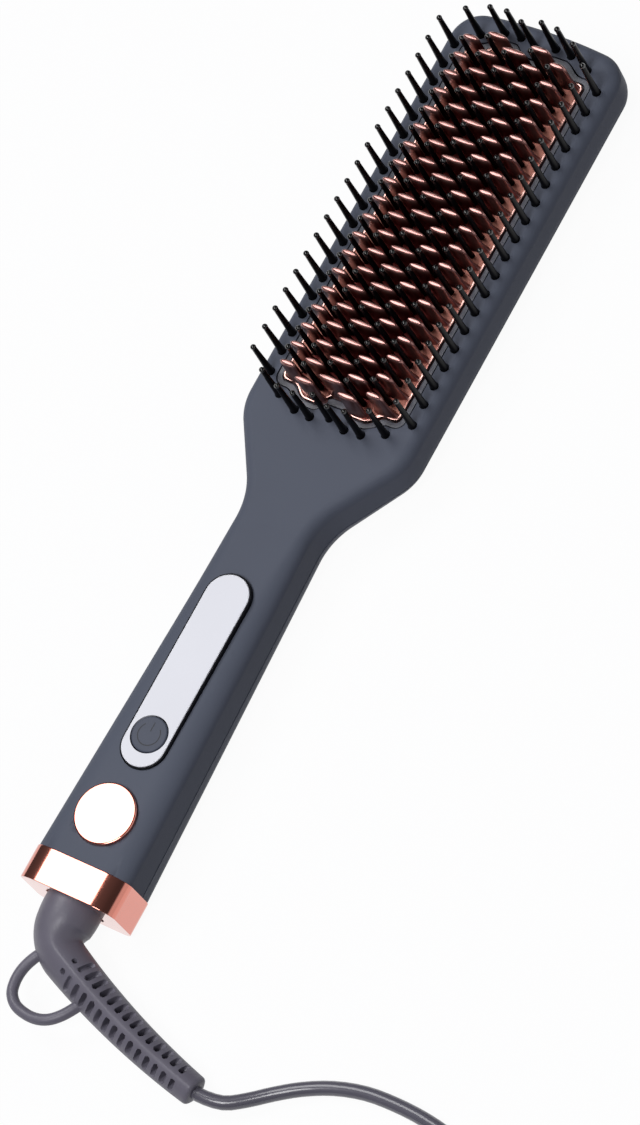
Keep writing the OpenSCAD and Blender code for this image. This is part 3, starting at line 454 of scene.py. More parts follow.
def relief_point(s):
    h, t = relief_turn(s), arm_t(s)
    if s < R_STRAIGHT:
        x, y = TAIL_X - s, 0.0
    elif t < 0:
        x, y = ELBOW_C[0] - R_ELBOW * sind(h), ELBOW_C[1] + R_ELBOW * cosd(h)
    else:
        x = ARM_P[0] + R_BOW * (sind(R_ELBOW_A) - sind(h))
        y = ARM_P[1] + R_BOW * (cosd(h) - cosd(R_ELBOW_A))
    half = R_EASE / 2
    sink = t * t / (2 * R_EASE * (1 - half)) if t < R_EASE else (t - half) / (1 - half)
    return Vector((x, y, SWIVEL_Z if t < 0 else mix(SWIVEL_Z, R_END_Z, sink)))


def relief_dir(s):
    return unit(relief_point(s + 0.1) - relief_point(s - 0.1))


def relief_r(s):
    t = arm_t(s)
    if t > 0:
        return mix(R_SLEEVE_D, R_END_D, t) / 2
    return mix(R_NECK_D, R_SLEEVE_D, smooth((s - R_PLAIN) / (ARM_S0 - R_PLAIN))) / 2


# The lead falls from the relief to the table and runs to the coil. The coil winds inwards and
# outwards by turns in four layers, and the tail runs down from it to the plug.
CORD_R = 2.0
COIL_C, COIL_OUT, COIL_STEP, TURNS, LAYERS = (-187.0, -146.0), 30.2, 4.5, 2.75, 4
COIL_X = COIL_C[0] + COIL_OUT
TURN_STEPS, CLIMB = 24, 0.5
PLUG = Vector((-192, -192, 5))
end_p, end_d = relief_point(R_LEN), relief_dir(R_LEN)
lead = through([end_p - 4 * end_d, end_p + end_d, (-169.9, -64.3, 4.3), (-166.4, -69.6, 3.2),
                (-161.8, -75.2, 2.3)]
               + at([(-157.5, -81.6), (-153.8, -89.5), (-151.5, -98.3), (-150.9, -107.4),
                     (-151.3, -116.7), (-152.8, -126), (-155.2, -135), (-156.6, -142),
                     (COIL_X, COIL_C[1]), (COIL_X, COIL_C[1] - 6)], CORD_R), 3)


def coil_point(t):
    """Point of the coil's line after t turns."""
    q = min(t, TURNS * LAYERS - 1e-4)
    layer = int(q / TURNS + 1e-6)
    wound = q - layer * TURNS
    r = COIL_OUT - (wound if layer % 2 == 0 else TURNS - wound) * COIL_STEP
    z = CORD_R + COIL_STEP * sum(smooth((t - (TURNS * i - CLIMB / 2)) / CLIMB)
                                 for i in range(1, LAYERS))
    return Vector((COIL_C[0] + r * cosd(-360 * t), COIL_C[1] + r * sind(-360 * t), z))


coil = [coil_point(i / TURN_STEPS) for i in range(int(TURNS * LAYERS * TURN_STEPS) + 1)]
tail = through([coil[-1] + Vector((0, 6, 0)), coil[-1], (-156.8, -153, 15.1), (-156.9, -161, 13.2),
                (-157.6, -169, 10.8), (-160, -177.5, 8.4), (-164.6, -185, 6.4),
                (-170.3, -190.2, 5.2), PLUG + Vector((17, 0, 0)), PLUG + Vector((9, 0, 0))], 3)
cord_line = [end_p] + lead + coil[1:] + tail[1:] + [PLUG + Vector((16, 0, 0))]
cord = build("mains_cord", [sweep(cord_line, CORD_R)], ["cord"], sharp=60, weighted=False)
ride(cord, "cord_swivel", "cord_lead", "cord_coil", "cord_tail", slot="cord")

# ------------------------------------------------------------------ plug
# the grip's outline and the ribbed sleeve are measured from the sleeve's root
GRIP = [(-26, -8), (-25, -9), (-23.8, -9), (-23, -8.2), (-21, -7.7), (-19, -8.2), (-18.2, -9),
        (-12, -9), (-6, -8.6), (-1, -7), (1, -5.6), (1.6, -3.5)]
GRIP_END, GRIP_HALF_Z, RIBS = 26, 5, 5
BLADE_LEN, BLADE_Y, HOLE_AT, HOLE_R = 17, 6.35, 14, 1.5
px, py, pz = PLUG
grip = GRIP + [(x, -y) for x, y in reversed(GRIP)]
sleeve = [(0.0, -1.0), (4.4, -1.0), (4.2, 0.6)]
for i in range(RIBS):
    h, r = 1.6 + 2.9 * i, mix(4.25, 2.9, i / (RIBS - 1))
    sleeve += [(r, h - 0.25), (r, h + 1.0), (r - 0.15, h + 1.15), (r * 0.80, h + 1.3),
               (r * 0.78, h + 2.3), (r - 0.25, h + 2.55)]
sleeve += [(2.45, 15.6), (2.3, 16.0), (0.0, 16.0)]
plug = build("plug_moulding", [
    slab([(x + px, y + py, nx, ny) for x, y, nx, ny in with_normals(grip)],
         pz - GRIP_HALF_Z, pz + GRIP_HALF_Z, 1.4, 4),
    lathe(sleeve, 32, tuple(PLUG), axis="x")], ["plug"], sharp=40)
ride(plug, "cord_swivel", "plug_body", slot="plug")


def blade(x0, y0, z0):
    """Flat pin from its tip at x0, with a chamfered tip and edges."""
    profile = [(x0 + BLADE_LEN, -3.1), (x0 + BLADE_LEN, 3.1), (x0 + 1.6, 3.1), (x0 + 0.5, 2.7),
               (x0, 1.8), (x0, -1.8), (x0 + 0.5, -2.7), (x0 + 1.6, -3.1)]
    mid = x0 + BLADE_LEN / 2
    return skin([[(mid + (x - mid) * along, y0 + d, z0 + z * up) for x, z in profile]
                 for d, along, up in ((-0.75, 0.985, 0.85), (-0.6, 1, 1.0), (0.6, 1, 1.0),
                                      (0.75, 0.985, 0.85))])


def blade_hole(x0, y0, z0):
    v, f = lathe([(0, -3), (HOLE_R, -3), (HOLE_R, 3), (0, 3)], 20)
    return [(x + x0, z + y0, y + z0) for x, y, z in v], f


blades = build("plug_blades_pair", [blade(px - GRIP_END - BLADE_LEN, py + s * BLADE_Y, pz)
                                    for s in (-1, 1)], ["blade"], sharp=30)
cut(blades, [blade_hole(px - GRIP_END - HOLE_AT, py + s * BLADE_Y, pz) for s in (-1, 1)], 30)
ride(blades, "cord_swivel", "plug_blades", slot="blades")

# ------------------------------------------------------------------ housing
END_X, FIRST_X, LAST_X, COLLAR_X, SHOULDER_X = 139.5, 18.5, 126.5, -129.5, 11.5
WALL_Z, PART_Z, PITCH, COL, ROWS, OUTER_ROW_Y = 16.0, 6.5, 6.0, 7.0, 19, 23.5
HEAD_HW, NECK_HW, TAIL_HW = 27.6, 12.0, 15.2
NECK_R, SHOULDER_R, NECK_A, CORNER_R, END_R = 22.0, 17.0, 33.4, 9.4, 170.0
END_GROWTH = 1.4   # the far end's crown beyond END_X
HEAD_BACK_R, MID_BACK_R, TAIL_BACK_R, FILLET, WALL = 9.0, 6.0, 3.5, 3.5, 2.2
FILLET_STEPS, BACK_STEPS, FLOOR_STEPS = 14, 12, 6

# half outline from the collar to the far end: taper, neck, flank, shoulder, side, corner, end
bend = 1 - cosd(NECK_A)
flank = (HEAD_HW - NECK_HW - (NECK_R + SHOULDER_R) * bend) / sind(NECK_A)
flank_end = (SHOULDER_X - SHOULDER_R * sind(NECK_A), HEAD_HW - SHOULDER_R * bend)
flank_start = (flank_end[0] - flank * cosd(NECK_A), flank_end[1] - flank * sind(NECK_A))
neck_c = (flank_start[0] - NECK_R * sind(NECK_A), flank_start[1] + NECK_R * cosd(NECK_A))
NECK_X = neck_c[0]
taper = math.degrees(math.atan((TAIL_HW - NECK_HW) / (NECK_X - COLLAR_X)))
end_cx = END_X + END_GROWTH - END_R
corner_c = (end_cx + math.sqrt((END_R - CORNER_R) ** 2 - (HEAD_HW - CORNER_R) ** 2),
            HEAD_HW - CORNER_R)
corner_a = math.degrees(math.asin((HEAD_HW - CORNER_R) / (END_R - CORNER_R)))


def bulge(c, r, a):
    """Point and normal of an arc that the body bulges along."""
    return (c[0] + r * cosd(a), c[1] + r * sind(a), cosd(a), sind(a))


def hollow(c, r, a):
    """Point and normal of an arc that the body is hollow along."""
    return (c[0] - r * cosd(a), c[1] - r * sind(a), cosd(a), sind(a))


start = hollow(neck_c, NECK_R, 90 - taper)
half = [(COLLAR_X, TAIL_HW, 0.0, 1.0)]
half += [(mix(COLLAR_X, start[0], i / 16), mix(TAIL_HW, start[1], i / 16), start[2], start[3])
         for i in range(1, 16)]
half += [hollow(neck_c, NECK_R, 90 - taper + i / 20 * (NECK_A + taper)) for i in range(21)]
half += [(mix(flank_start[0], flank_end[0], i / 4), mix(flank_start[1], flank_end[1], i / 4),
          -sind(NECK_A), cosd(NECK_A)) for i in range(1, 4)]
half += [bulge((SHOULDER_X, HEAD_HW - SHOULDER_R), SHOULDER_R, 90 + NECK_A * (1 - i / 16))
         for i in range(17)]
half += [(mix(SHOULDER_X, corner_c[0], i / 16), HEAD_HW, 0.0, 1.0) for i in range(1, 16)]
half += [bulge(corner_c, CORNER_R, 90 - i / 18 * (90 - corner_a)) for i in range(19)]
half += [bulge((end_cx, 0), END_R, corner_a * (1 - i / 12)) for i in range(1, 13)]
HALF_N = len(half)
outline = [(x, -y, nx, -ny) for x, y, nx, ny in half] + half[HALF_N - 2::-1]


def back_r(x):
    """Radius of the back's edge."""
    if x > SHOULDER_X:
        return HEAD_BACK_R
    if x > NECK_X:
        return mix(MID_BACK_R, HEAD_BACK_R, (x - NECK_X) / (SHOULDER_X - NECK_X))
    return mix(TAIL_BACK_R, MID_BACK_R, (x - COLLAR_X) / (NECK_X - COLLAR_X))


def top(x):
    """Height of the face, which rises from the neck to the tail."""
    return FACE_Z if x > NECK_X else FACE_Z + TAIL_RISE * (NECK_X - x) / (NECK_X - COLLAR_X)


def round_in(r, h):
    """How far an edge rounded by r stands back at h from its end."""
    return 0.0 if h >= r else r - math.sqrt(max(0.0, r * r - (r - h) ** 2))


def fillet_w(x):
    """Width of the face's rounded edge: wider on the handle than on the head."""
    return FILLET + 2.8 * smooth((-18 - x) / 30) + 1.2 * smooth((-48 - x) / 60)


def fillet_h(x):
    """Height of the same rounded edge."""
    return FILLET + 0.8 * smooth((-18 - x) / 40)


def ring(height, extra=0.0):
    """Housing's outline at height(x), drawn in by its rounded edges and by extra."""
    out = []
    for x, y, nx, ny in outline:
        z = height(x)
        d = max(round_in(back_r(x), z),
                round_in(fillet_h(x), top(x) - z) * fillet_w(x) / fillet_h(x)) + extra
        out.append((x - nx * d, y - ny * d, z))
    return out


def level(z, extra=0.0):
    return ring(lambda x: z, extra)


def loft(rings):
    """Closed solid through housing rings; its ends are strips from side to side."""
    v, f = skin(rings, caps=False)
    n, last = len(outline), (len(rings) - 1) * len(outline)
    for i in range(HALF_N - 1):
        q = (i, i + 1, n - 2 - i, n - 1 - i) if i < HALF_N - 2 else (i, i + 1, n - 1 - i)
        f.append(q)
        f.append(tuple(last + j for j in reversed(q)))
    return v, f


def field_line(k, grow=0.0):
    """Edge of the bristle field: the plate's rim at k = 0, the housing's opening at k = 1.
    Each end dips in the middle, has two lobes round the fins and steps back at the sides."""
    steps, side_steps = 56, 30
    dip, lobe, side = mix(0.9, 4.0, k), mix(4.65, 6.9, k), mix(1.35, 3.6, k)
    hw, c = mix(19.2, 21.4, k) + grow, mix(1.6, 3.2, k)

    def reach(y):
        a = abs(y)
        up = smooth((a - mix(1.9, 1.8, k)) / mix(4.4, 4.6, k))
        off = smooth((a - mix(9.6, 9.9, k)) / mix(5.5, 7.4, k))
        return mix(mix(dip, lobe, up), side, off) + grow
    end = [(side + grow - c + c * cosd(a), -hw + c + c * sind(a)) for a in range(-90, 0, 18)]
    for i in range(steps + 1):
        y = mix(-hw + c, hw - c, i / steps)
        end.append((reach(y), y))
    end += [(side + grow - c + c * cosd(a), hw - c + c * sind(a)) for a in range(18, 91, 18)]
    head = [(LAST_X + x, y) for x, y in end]
    tail_end = [(FIRST_X - x, -y) for x, y in end]
    line = head + [(mix(head[-1][0], tail_end[0][0], j / side_steps), hw)
                   for j in range(1, side_steps)]
    return line + tail_end + [(mix(tail_end[-1][0], head[0][0], j / side_steps), -hw)
                              for j in range(1, side_steps)]


def band(levels, wrap=True):
    """Solid through field lines given as (k, z)."""
    return skin([at(field_line(k), z) for k, z in levels], wrap=wrap)


def station(k):
    return FIRST_X + k * PITCH


def cad_reach(y):
    """The opening's reach past the last row, as the CAD model draws it."""
    a = abs(y) / COL
    return 1.2 + 3.3 * (smooth((2.2 - a) / 0.7) if a > 1.5 else smooth((a - 0.22) / 0.57))


# even columns hold a fin at each station, odd ones half a pitch off, and bristles stand between
COLUMNS = (-2, -1, 0, 1, 2)
fin_spots = [(station(k if c % 2 == 0 else k - 0.5), c * COL, c)
             for c in COLUMNS for k in range(ROWS if c % 2 == 0 else ROWS + 1)]
inner_spots = [(station(k + 0.5 if c % 2 == 0 else k), c * COL)
               for c in COLUMNS for k in range(ROWS - 1 if c % 2 == 0 else ROWS)]
end_pins = [(cad_reach(y) + d, s * y) for y, d in ((0, 6.1), (5.7, 4.5), (11, 4.2), (17.6, 4.7))
            for s in ((1,) if y == 0 else (-1, 1))]
outer_spots = [(station(k) + {0: -0.7, ROWS - 1: 0.7}.get(k, 0), s * OUTER_ROW_Y)
               for k in range(ROWS) for s in (-1, 1)]
outer_spots += [(LAST_X + x, y) for x, y in end_pins] + [(FIRST_X - x, y) for x, y in end_pins]

STRIP_X0, STRIP_X1, STRIP_W = -100.5, -40.1, 14.0
BUTTON_X, BUTTON_R, BADGE_X, BADGE_R, BADGE_PROUD = -90.5, 5.25, -115.2, 9.0, 1.2
SEAT_Z = top(BADGE_X) - BADGE_PROUD
BADGE_STEM_R, PIN_HOLE_R, GAP = 1.6, 1.35, 0.2
PART_STEP, PART_BEVEL = 0.25, 0.3              # the parting line's groove
OPEN_FROM, OVER_HEAD, OVER_GRIP = WALL_Z - 1.5, 20, 22   # reach of the cutters

front = loft([level(PART_Z, PART_STEP), level(PART_Z + PART_BEVEL), level(7.8), level(9.0),
              level(11.5)]
             + [ring(lambda x, a=90 * i / FILLET_STEPS: top(x) - fillet_h(x) * (1 - sind(a)))
                for i in range(FILLET_STEPS + 1)])
shell_front = build("shell_front", [front], ["paint"], sharp=28)
cut(shell_front, [loft([level(PART_Z - 1, WALL), level(9.0, WALL), level(WALL_Z - 2, WALL),
                        level(WALL_Z, WALL)])], 28)
openings = [prism(field_line(1.0), OPEN_FROM, OVER_HEAD)]
openings += [pillar(x, y, PIN_HOLE_R, OPEN_FROM, OVER_HEAD) for x, y in outer_spots]
openings += [prism(inset(stadium(STRIP_X0 - GAP, STRIP_X1 + GAP, STRIP_W + 2 * GAP, 28), 0),
                   OPEN_FROM, OVER_GRIP)]
openings += [lathe([(0, 14), (BADGE_STEM_R, 14), (BADGE_STEM_R, SEAT_Z),
                    (BADGE_R + GAP / 2, SEAT_Z), (BADGE_R + GAP / 2, OVER_GRIP),
                    (0, OVER_GRIP)], 72, (BADGE_X, 0, 0))]
cut(shell_front, openings, 28)
ride(shell_front, "brush", "front_housing", slot="housing_front")


def floor_ring(z):
    """Inner line of the back shell at height z."""
    out = []
    for x, y, nx, ny in outline:
        d = WALL + round_in(max(0.6, back_r(x) - WALL), z - WALL)
        out.append((x - nx * d, y - ny * d, z))
    return out


back_body = loft([level((PART_Z - PART_BEVEL) * (1 - cosd(90 * i / BACK_STEPS)))
                  for i in range(BACK_STEPS + 1)] + [level(PART_Z, PART_STEP)])
shell_back = build("shell_back", [back_body], ["paint_back"], sharp=28)
cut(shell_back, [loft([floor_ring(WALL + (PART_Z + 1 - WALL) * (1 - cosd(90 * i / FLOOR_STEPS)))
                       for i in range(FLOOR_STEPS + 1)])], 28)
ride(shell_back, "brush", "back_housing", slot="housing_back")

# ------------------------------------------------------------------ collar
COLLAR_PROUD, COLLAR_IN, COLLAR_HOLE_R = 0.4, -1.25, 8.6
SPIGOT_OUT, SPIGOT_IN = -1.3, -2.6


def tail_section(grow, n=14):
    """The handle's section at the collar as (y, z), grown by grow."""
    w, lo, hi = TAIL_HW + grow, max(0.0, -grow), TAIL_Z + grow
    rt, rb = fillet_h(COLLAR_X) + grow, TAIL_BACK_R + min(grow, 0)
    wide = fillet_w(COLLAR_X) + grow
    angles = [90 * i / n for i in range(n + 1)]
    pts = arc(w - rb, lo + rb, rb, -90, 0, n)
    pts += [(w - wide + wide * cosd(a), hi - rt + rt * sind(a)) for a in angles]
    pts += [(mix(w - wide, -w + wide, i / 12), hi) for i in range(1, 12)]
    pts += [(-w + wide - wide * sind(a), hi - rt + rt * cosd(a)) for a in angles]
    return pts + arc(-w + rb, lo + rb, rb, 180, 270, n)


def section_ring(x, grow):
    return [(x, y, z) for y, z in tail_section(grow)]


def collar_hole(x, r):
    """Round ring whose points lie on the same rays as the section's."""
    out = []
    for y, z in tail_section(COLLAR_PROUD):
        a = math.atan2(z - SWIVEL_Z, y)
        out.append((x, r * math.cos(a), SWIVEL_Z + r * math.sin(a)))
    return out


spigot = skin([section_ring(x, grow) for x, grow in (
    (TAIL_X + 3, SPIGOT_OUT), (COLLAR_X + 2.2, SPIGOT_OUT), (COLLAR_X + 2.2, SPIGOT_IN),
    (TAIL_X + 3, SPIGOT_IN))], wrap=True)
liner = build("collar_spigot", [spigot], ["paint_back"], sharp=28)
ride(liner, "brush", slot="housing_back")
collar = build("end_collar", [skin(
    [section_ring(x, grow) for x, grow in (
        (COLLAR_X, COLLAR_IN), (COLLAR_X, 0.15), (COLLAR_X - 0.1, 0.32),
        (COLLAR_X - 0.35, COLLAR_PROUD), (COLLAR_X - 3, COLLAR_PROUD), (TAIL_X + 3, COLLAR_PROUD),
        (TAIL_X + 0.22, COLLAR_PROUD), (TAIL_X + 0.07, 0.35), (TAIL_X, 0.2))]
    + [collar_hole(TAIL_X, COLLAR_HOLE_R + 0.35), collar_hole(TAIL_X + 0.35, COLLAR_HOLE_R),
       collar_hole(TAIL_X + 1.5, COLLAR_HOLE_R), section_ring(TAIL_X + 1.5, COLLAR_IN)],
    wrap=True)], ["rose"], sharp=35)
ride(collar, "brush", "tail_collar", slot="collar")

# ------------------------------------------------------------------ heater: frame, comb, bristles
PLATE_TOP, PLATE_Z, CARRIER_Z = 18.3, 16.7, 12.4
FRAME_OUT, FRAME_IN, FRAME_TOP = 0.86, 0.22, 17.9
LEDGE_Z0, LEDGE_Z1, BEAD_Z, BEAD_TOP = 14.9, 15.95, 17.2, 18.58
POST_STATIONS, POST_Y = (1.5, 9, 16.5), 19.3
bezel = build("heater_frame", [
    band([(FRAME_OUT, CARRIER_Z), (FRAME_OUT, FRAME_TOP - 0.15),
          (FRAME_OUT - 0.02, FRAME_TOP - 0.04), (FRAME_OUT - 0.08, FRAME_TOP),
          (FRAME_IN + 0.10, FRAME_TOP), (FRAME_IN + 0.03, FRAME_TOP - 0.06),
          (FRAME_IN, FRAME_TOP - 0.2), (FRAME_IN, CARRIER_Z)]),
    band([(1.0, LEDGE_Z0), (1.3, LEDGE_Z0), (1.3, LEDGE_Z1), (1.0, LEDGE_Z1)]),
    band([(0.22, 15.9), (0.22, 16.65), (-0.35, 16.65), (-0.35, 15.9)])]
    + [lathe([(0.95, CARRIER_Z), (2.1, CARRIER_Z), (2.1, 15.9), (0.95, 15.9)], 24,
             (station(k), s * POST_Y, 0), wrap=True) for k in POST_STATIONS for s in (-1, 1)],
    ["bezel"], sharp=32)
ride(bezel, "brush", "heater_bezel", slot="bezel")

plate = build("comb_plate", [band([(0.0, PLATE_Z), (0.0, PLATE_TOP - 0.35),
                                   (-0.05, PLATE_TOP - 0.12), (-0.16, PLATE_TOP)], wrap=False)],
              ["comb_base"], sharp=40, weighted=False)
rim = build("comb_rim", [band([
    (0.05, BEAD_Z), (0.05, BEAD_TOP - 0.16), (0.03, BEAD_TOP - 0.04), (-0.01, BEAD_TOP),
    (-0.22, BEAD_TOP), (-0.26, BEAD_TOP - 0.04), (-0.28, BEAD_TOP - 0.16), (-0.28, BEAD_Z)])],
    ["bead"], sharp=60)
cut(plate, [pillar(x, y, 1.05, PLATE_Z - 1, PLATE_TOP + 1, 24) for x, y in inner_spots], 35)

FIN_H, FIN_T, FIN_SIDES = 10.7, 2.15, 28
FIN_LEVELS = (-0.4, 0.0, 0.2, 0.5, 1.0, 1.8, 3.2, 5.0, 6.8, 8.2, 9.2, 9.8, 10.1, 10.3, 10.45, 10.55,
              10.6, 10.67, 10.7)
# half lengths of a fin towards and away from the middle line, by its column
FIN_HALVES = {0: (4.3, 4.3), 1: (3.45, 3.45), 2: (2.75, 4.1)}
RIDGE_Z, RIDGE_SHARE, CORNER_Z, CORNER_IN, FOOT = 9.9, 0.28, 8.8, 1.2, 0.5


def dome(h, low, power):
    """1 up to height low, then down a rounded end to 0 at the fin's top."""
    return math.sqrt(max(0.0, 1 - max(0.0, (h - low) / (FIN_H - low)) ** power))


def fin_shell(x0, y0, column):
    """One fin: oval section, foot flared on to the plate, ridge and top corners rounded."""
    away = 1 if column >= 0 else -1
    near, far = FIN_HALVES[abs(column)]
    rings = []
    for h in FIN_LEVELS:
        t = max(0.0, h / FIN_H)
        foot = FOOT * math.exp(-max(0.0, h) / 0.7)
        ridge = mix(RIDGE_SHARE, 1, dome(h, RIDGE_Z, 2.4))
        half_t = (FIN_T / 2 * mix(1.0, 0.86, t) + foot) * ridge
        corner = CORNER_IN * (1 - dome(h, CORNER_Z, 2))
        a = near - 0.15 * t + foot - 0.75 * corner
        b = far - 0.15 * t + foot - 0.75 * corner
        if abs(column) == 2:
            b = mix(far + 0.6, far - 1.1, smooth(t ** 0.5 / 0.9)) + foot * 0.5 - corner
        line = []
        for j in range(FIN_SIDES):
            q = 360 * j / FIN_SIDES
            u = cosd(q) * (b if cosd(q) > 0 else a)
            line.append((x0 + half_t * sind(q), y0 + away * u))
        rings.append(at(line, PLATE_TOP + h))
    return skin(rings)


def mark_painted_shade(o):
    """Stores painted shade for each point of the comb: 1 deep between the fins, 0 on the ridges and
    on the open plate round the field, and between the two on the fins' open flanks."""
    marks = o.data.attributes.new("depth", "FLOAT", "POINT")
    for mark, p in zip(marks.data, o.data.vertices):
        x, y, z = (c / MM for c in p.co)
        h = (z - PLATE_TOP) / FIN_H
        outside = max((FIRST_X - 0.3 - x) / 1.2, (x - LAST_X - 0.3) / 1.2, (abs(y) - 13.2) / 2.4)
        # painted shade between the fins, darkest at their roots
        root = (1 - smooth((h - 0.70) / 0.28)) * (1 - smooth(outside))
        # painted shade on the fins' open flanks, darker lower down
        flank = smooth(h / 0.06) * max(0.72 * (1 - smooth((h - 0.1) / 0.85)),
                                       0.5 * (1 - smooth((h - 0.86) / 0.08)))
        mark.value = max(root, flank)


comb = build("comb_fins", [fin_shell(*spot) for spot in fin_spots], ["fin"], sharp=50,
             weighted=False)
# painted shade stored on the comb's points
mark_painted_shade(comb)
mark_painted_shade(plate)
ride(plate, "brush", "heater_plate", slot="heater_metal")
ride(comb, "brush", "heater_plate", slot="heater_metal")
ride(rim, "brush", slot="heater_metal")

TIP_Z, BALL_R, TIP_R = 33.8, 0.85, 0.72


def bristle(z0, base, rb, z_foot, n, spots):
    """Bristles at spots: a socket shaft, a flared foot and a tapering shaft, and a ball of its
    own gloss with its tip at the common height."""
    low = TIP_Z - 2 * BALL_R
    p = [(0, z0), (base, z0), (base, z_foot - 0.1), (rb, z_foot), (rb, z_foot + 0.2)]
    p += [(mix(rb * 0.97, TIP_R, (i / 6) ** 0.8), mix(z_foot + 0.4, low + 0.25, i / 6))
          for i in range(7)]
    p += [(BALL_R * cosd(a), TIP_Z - BALL_R + BALL_R * sind(a)) for a in range(-42, 90, 14)]
    p.append((0, TIP_Z))
    k = max(i for i, (r, z) in enumerate(p) if z < low + 0.3)
    joint = (0, p[k][1])
    shaft, ball = p[:k + 1] + [joint], [joint] + p[k:]
    return [lathe(line, n, (x, y, 0)) + (slot,)
            for x, y in spots for slot, line in ((0, shaft), (1, ball))]


carrier = slab([(LAST_X + 1.3, -16, .7, -.7), (LAST_X + 1.3, 16, .7, .7),
                (FIRST_X - 1.3, 16, -.7, .7), (FIRST_X - 1.3, -16, -.7, -.7)],
               CARRIER_Z, 14.2, 0.2, 2)
inner = build("inner_pins", bristle(13.7, 0.85, 0.95, PLATE_TOP + 0.15, 16, inner_spots)
              + [carrier], ["black", "ball"], sharp=50, weighted=False)
ride(inner, "brush", "inner_bristles", slot="bristle")
root_frame = skin([at(field_line(1.0, grow), z) for grow, z in (
    (0.9, 14.4), (3.2, 14.4), (3.2, LEDGE_Z1), (0.9, LEDGE_Z1))], wrap=True)
outer = build("outer_pins", bristle(15.5, 1.15, 1.15, 18.4, 18, outer_spots) + [root_frame],
              ["black", "ball"], sharp=50, weighted=False)
ride(outer, "brush", "outer_bristles", slot="bristle")

# ------------------------------------------------------------------ strip, button, badge
STRIP_FLANGE, RIM_Z, FACE_IN, FACE_TOP, CAP_Z = 1.2, 19.65, 0.38, 20.0, 20.2
base_line = stadium(STRIP_X0, STRIP_X1, STRIP_W, 32, 12)
wide_line = stadium(STRIP_X0 - STRIP_FLANGE, STRIP_X1 + STRIP_FLANGE,
                    STRIP_W + 2 * STRIP_FLANGE, 32, 12)
strip_base = build("strip_body", [skin([at(inset(line, d), z) for line, d, z in (
    (wide_line, 0, LEDGE_Z0), (wide_line, 0, LEDGE_Z1), (base_line, -0.15, 16.0),
    (base_line, -0.15, RIM_Z - 0.2), (base_line, -0.1, RIM_Z - 0.07), (base_line, 0.0, RIM_Z),
    (base_line, 0.33, RIM_Z), (base_line, FACE_IN, RIM_Z - 0.5))])], ["satin_black"], sharp=35)
cut(strip_base, [pillar(BUTTON_X, 0, BUTTON_R + 0.25, 13, 22, 64)], 35)
ride(strip_base, "brush", "strip_base", slot="strip_black")
strip = build("strip_face", [skin([at(inset(base_line, d), z) for d, z in (
    (FACE_IN, FACE_TOP - 0.8), (FACE_IN, FACE_TOP - 0.18), (FACE_IN + 0.05, FACE_TOP - 0.08),
    (FACE_IN + 0.16, FACE_TOP - 0.02), (FACE_IN + 0.32, FACE_TOP))])],
    ["silver"], sharp=35)
cut(strip, [pillar(BUTTON_X, 0, BUTTON_R + 0.33, 18, 22, 64)], 35)
ride(strip, "brush", "strip_plate", slot="strip_silver")

button = build("button_cap", [lathe([
    (4.4, 13.6), (6.05, 13.6), (6.05, 14.6), (BUTTON_R, 14.6), (BUTTON_R, CAP_Z - 0.4),
    (BUTTON_R - 0.07, CAP_Z - 0.2), (BUTTON_R - 0.25, CAP_Z - 0.05), (BUTTON_R - 0.5, CAP_Z),
    (0, CAP_Z), (0, 18.4), (4.4, 18.4)], 72, (BUTTON_X, 0, 0), wrap=True)], ["button"], sharp=35)
ride(button, "button", "power_button", slot="button")


def power_sign(z0, z1, w=0.3, r=3.3):
    """Generic power sign: a ring open towards the head, and a bar in its opening."""
    opening, bar_from, bar_to, steps = 46, 0.8, 3.6, 60
    ring_line = (arc(0, 0, r + w / 2, opening, 360 - opening, steps)
                 + arc(0, 0, r - w / 2, 360 - opening, opening, steps))
    bar = [(bar_from, -w / 2), (bar_to, -w / 2), (bar_to, w / 2), (bar_from, w / 2)]
    return [prism([(x + BUTTON_X, y) for x, y in line], z0, z1) for line in (ring_line, bar)]


# the sign is a dark inlay in the cap, painted shade of an engraved groove
sign = build("button_sign", power_sign(CAP_Z - 0.25, CAP_Z + 0.02), ["mark"], sharp=35)
ride(sign, "button", slot="button")

badge_top = top(BADGE_X) + BADGE_PROUD
badge = build("badge_disc", [lathe([
    (0, 15.6), (1.5, 15.6), (1.5, SEAT_Z), (BADGE_R, SEAT_Z), (BADGE_R, badge_top - 0.45),
    (BADGE_R - 0.05, badge_top - 0.25), (BADGE_R - 0.16, badge_top - 0.1),
    (BADGE_R - 0.34, badge_top - 0.02), (BADGE_R - 0.6, badge_top), (6, badge_top + 0.01),
    (3, badge_top + 0.02), (0, badge_top + 0.025)], 96, (BADGE_X, 0, 0))], ["rose"], sharp=25)
ride(badge, "brush", "badge", slot="badge")

# ------------------------------------------------------------------ strain relief and loop
RELIEF_SIDES = 128
SLOT_N, SLOT_PITCH, SLOT_S0, SLOT_HALF, SLOT_EDGE = 14, 3.09, ARM_S0 + 8.2, 0.77, 0.12
RIB_HALF, SLOT_REACH, CORE_R = 1.35, 70, 2.1
FIRST_SLOT_SHARE, SLOT_SHARE_STEP, SHALLOW_SLOTS = 0.26, 0.18, 4
DOT_BEFORE, DOT_SIDE, DOT_DEPTH = 3.0, 2.4, 1.8


def squarish(t, p):
    """Radius of a section at angle t that is round at p = 2 and a diamond at p = 1."""
    return (abs(cosd(t)) ** p + abs(sind(t)) ** p) ** (-1 / p)


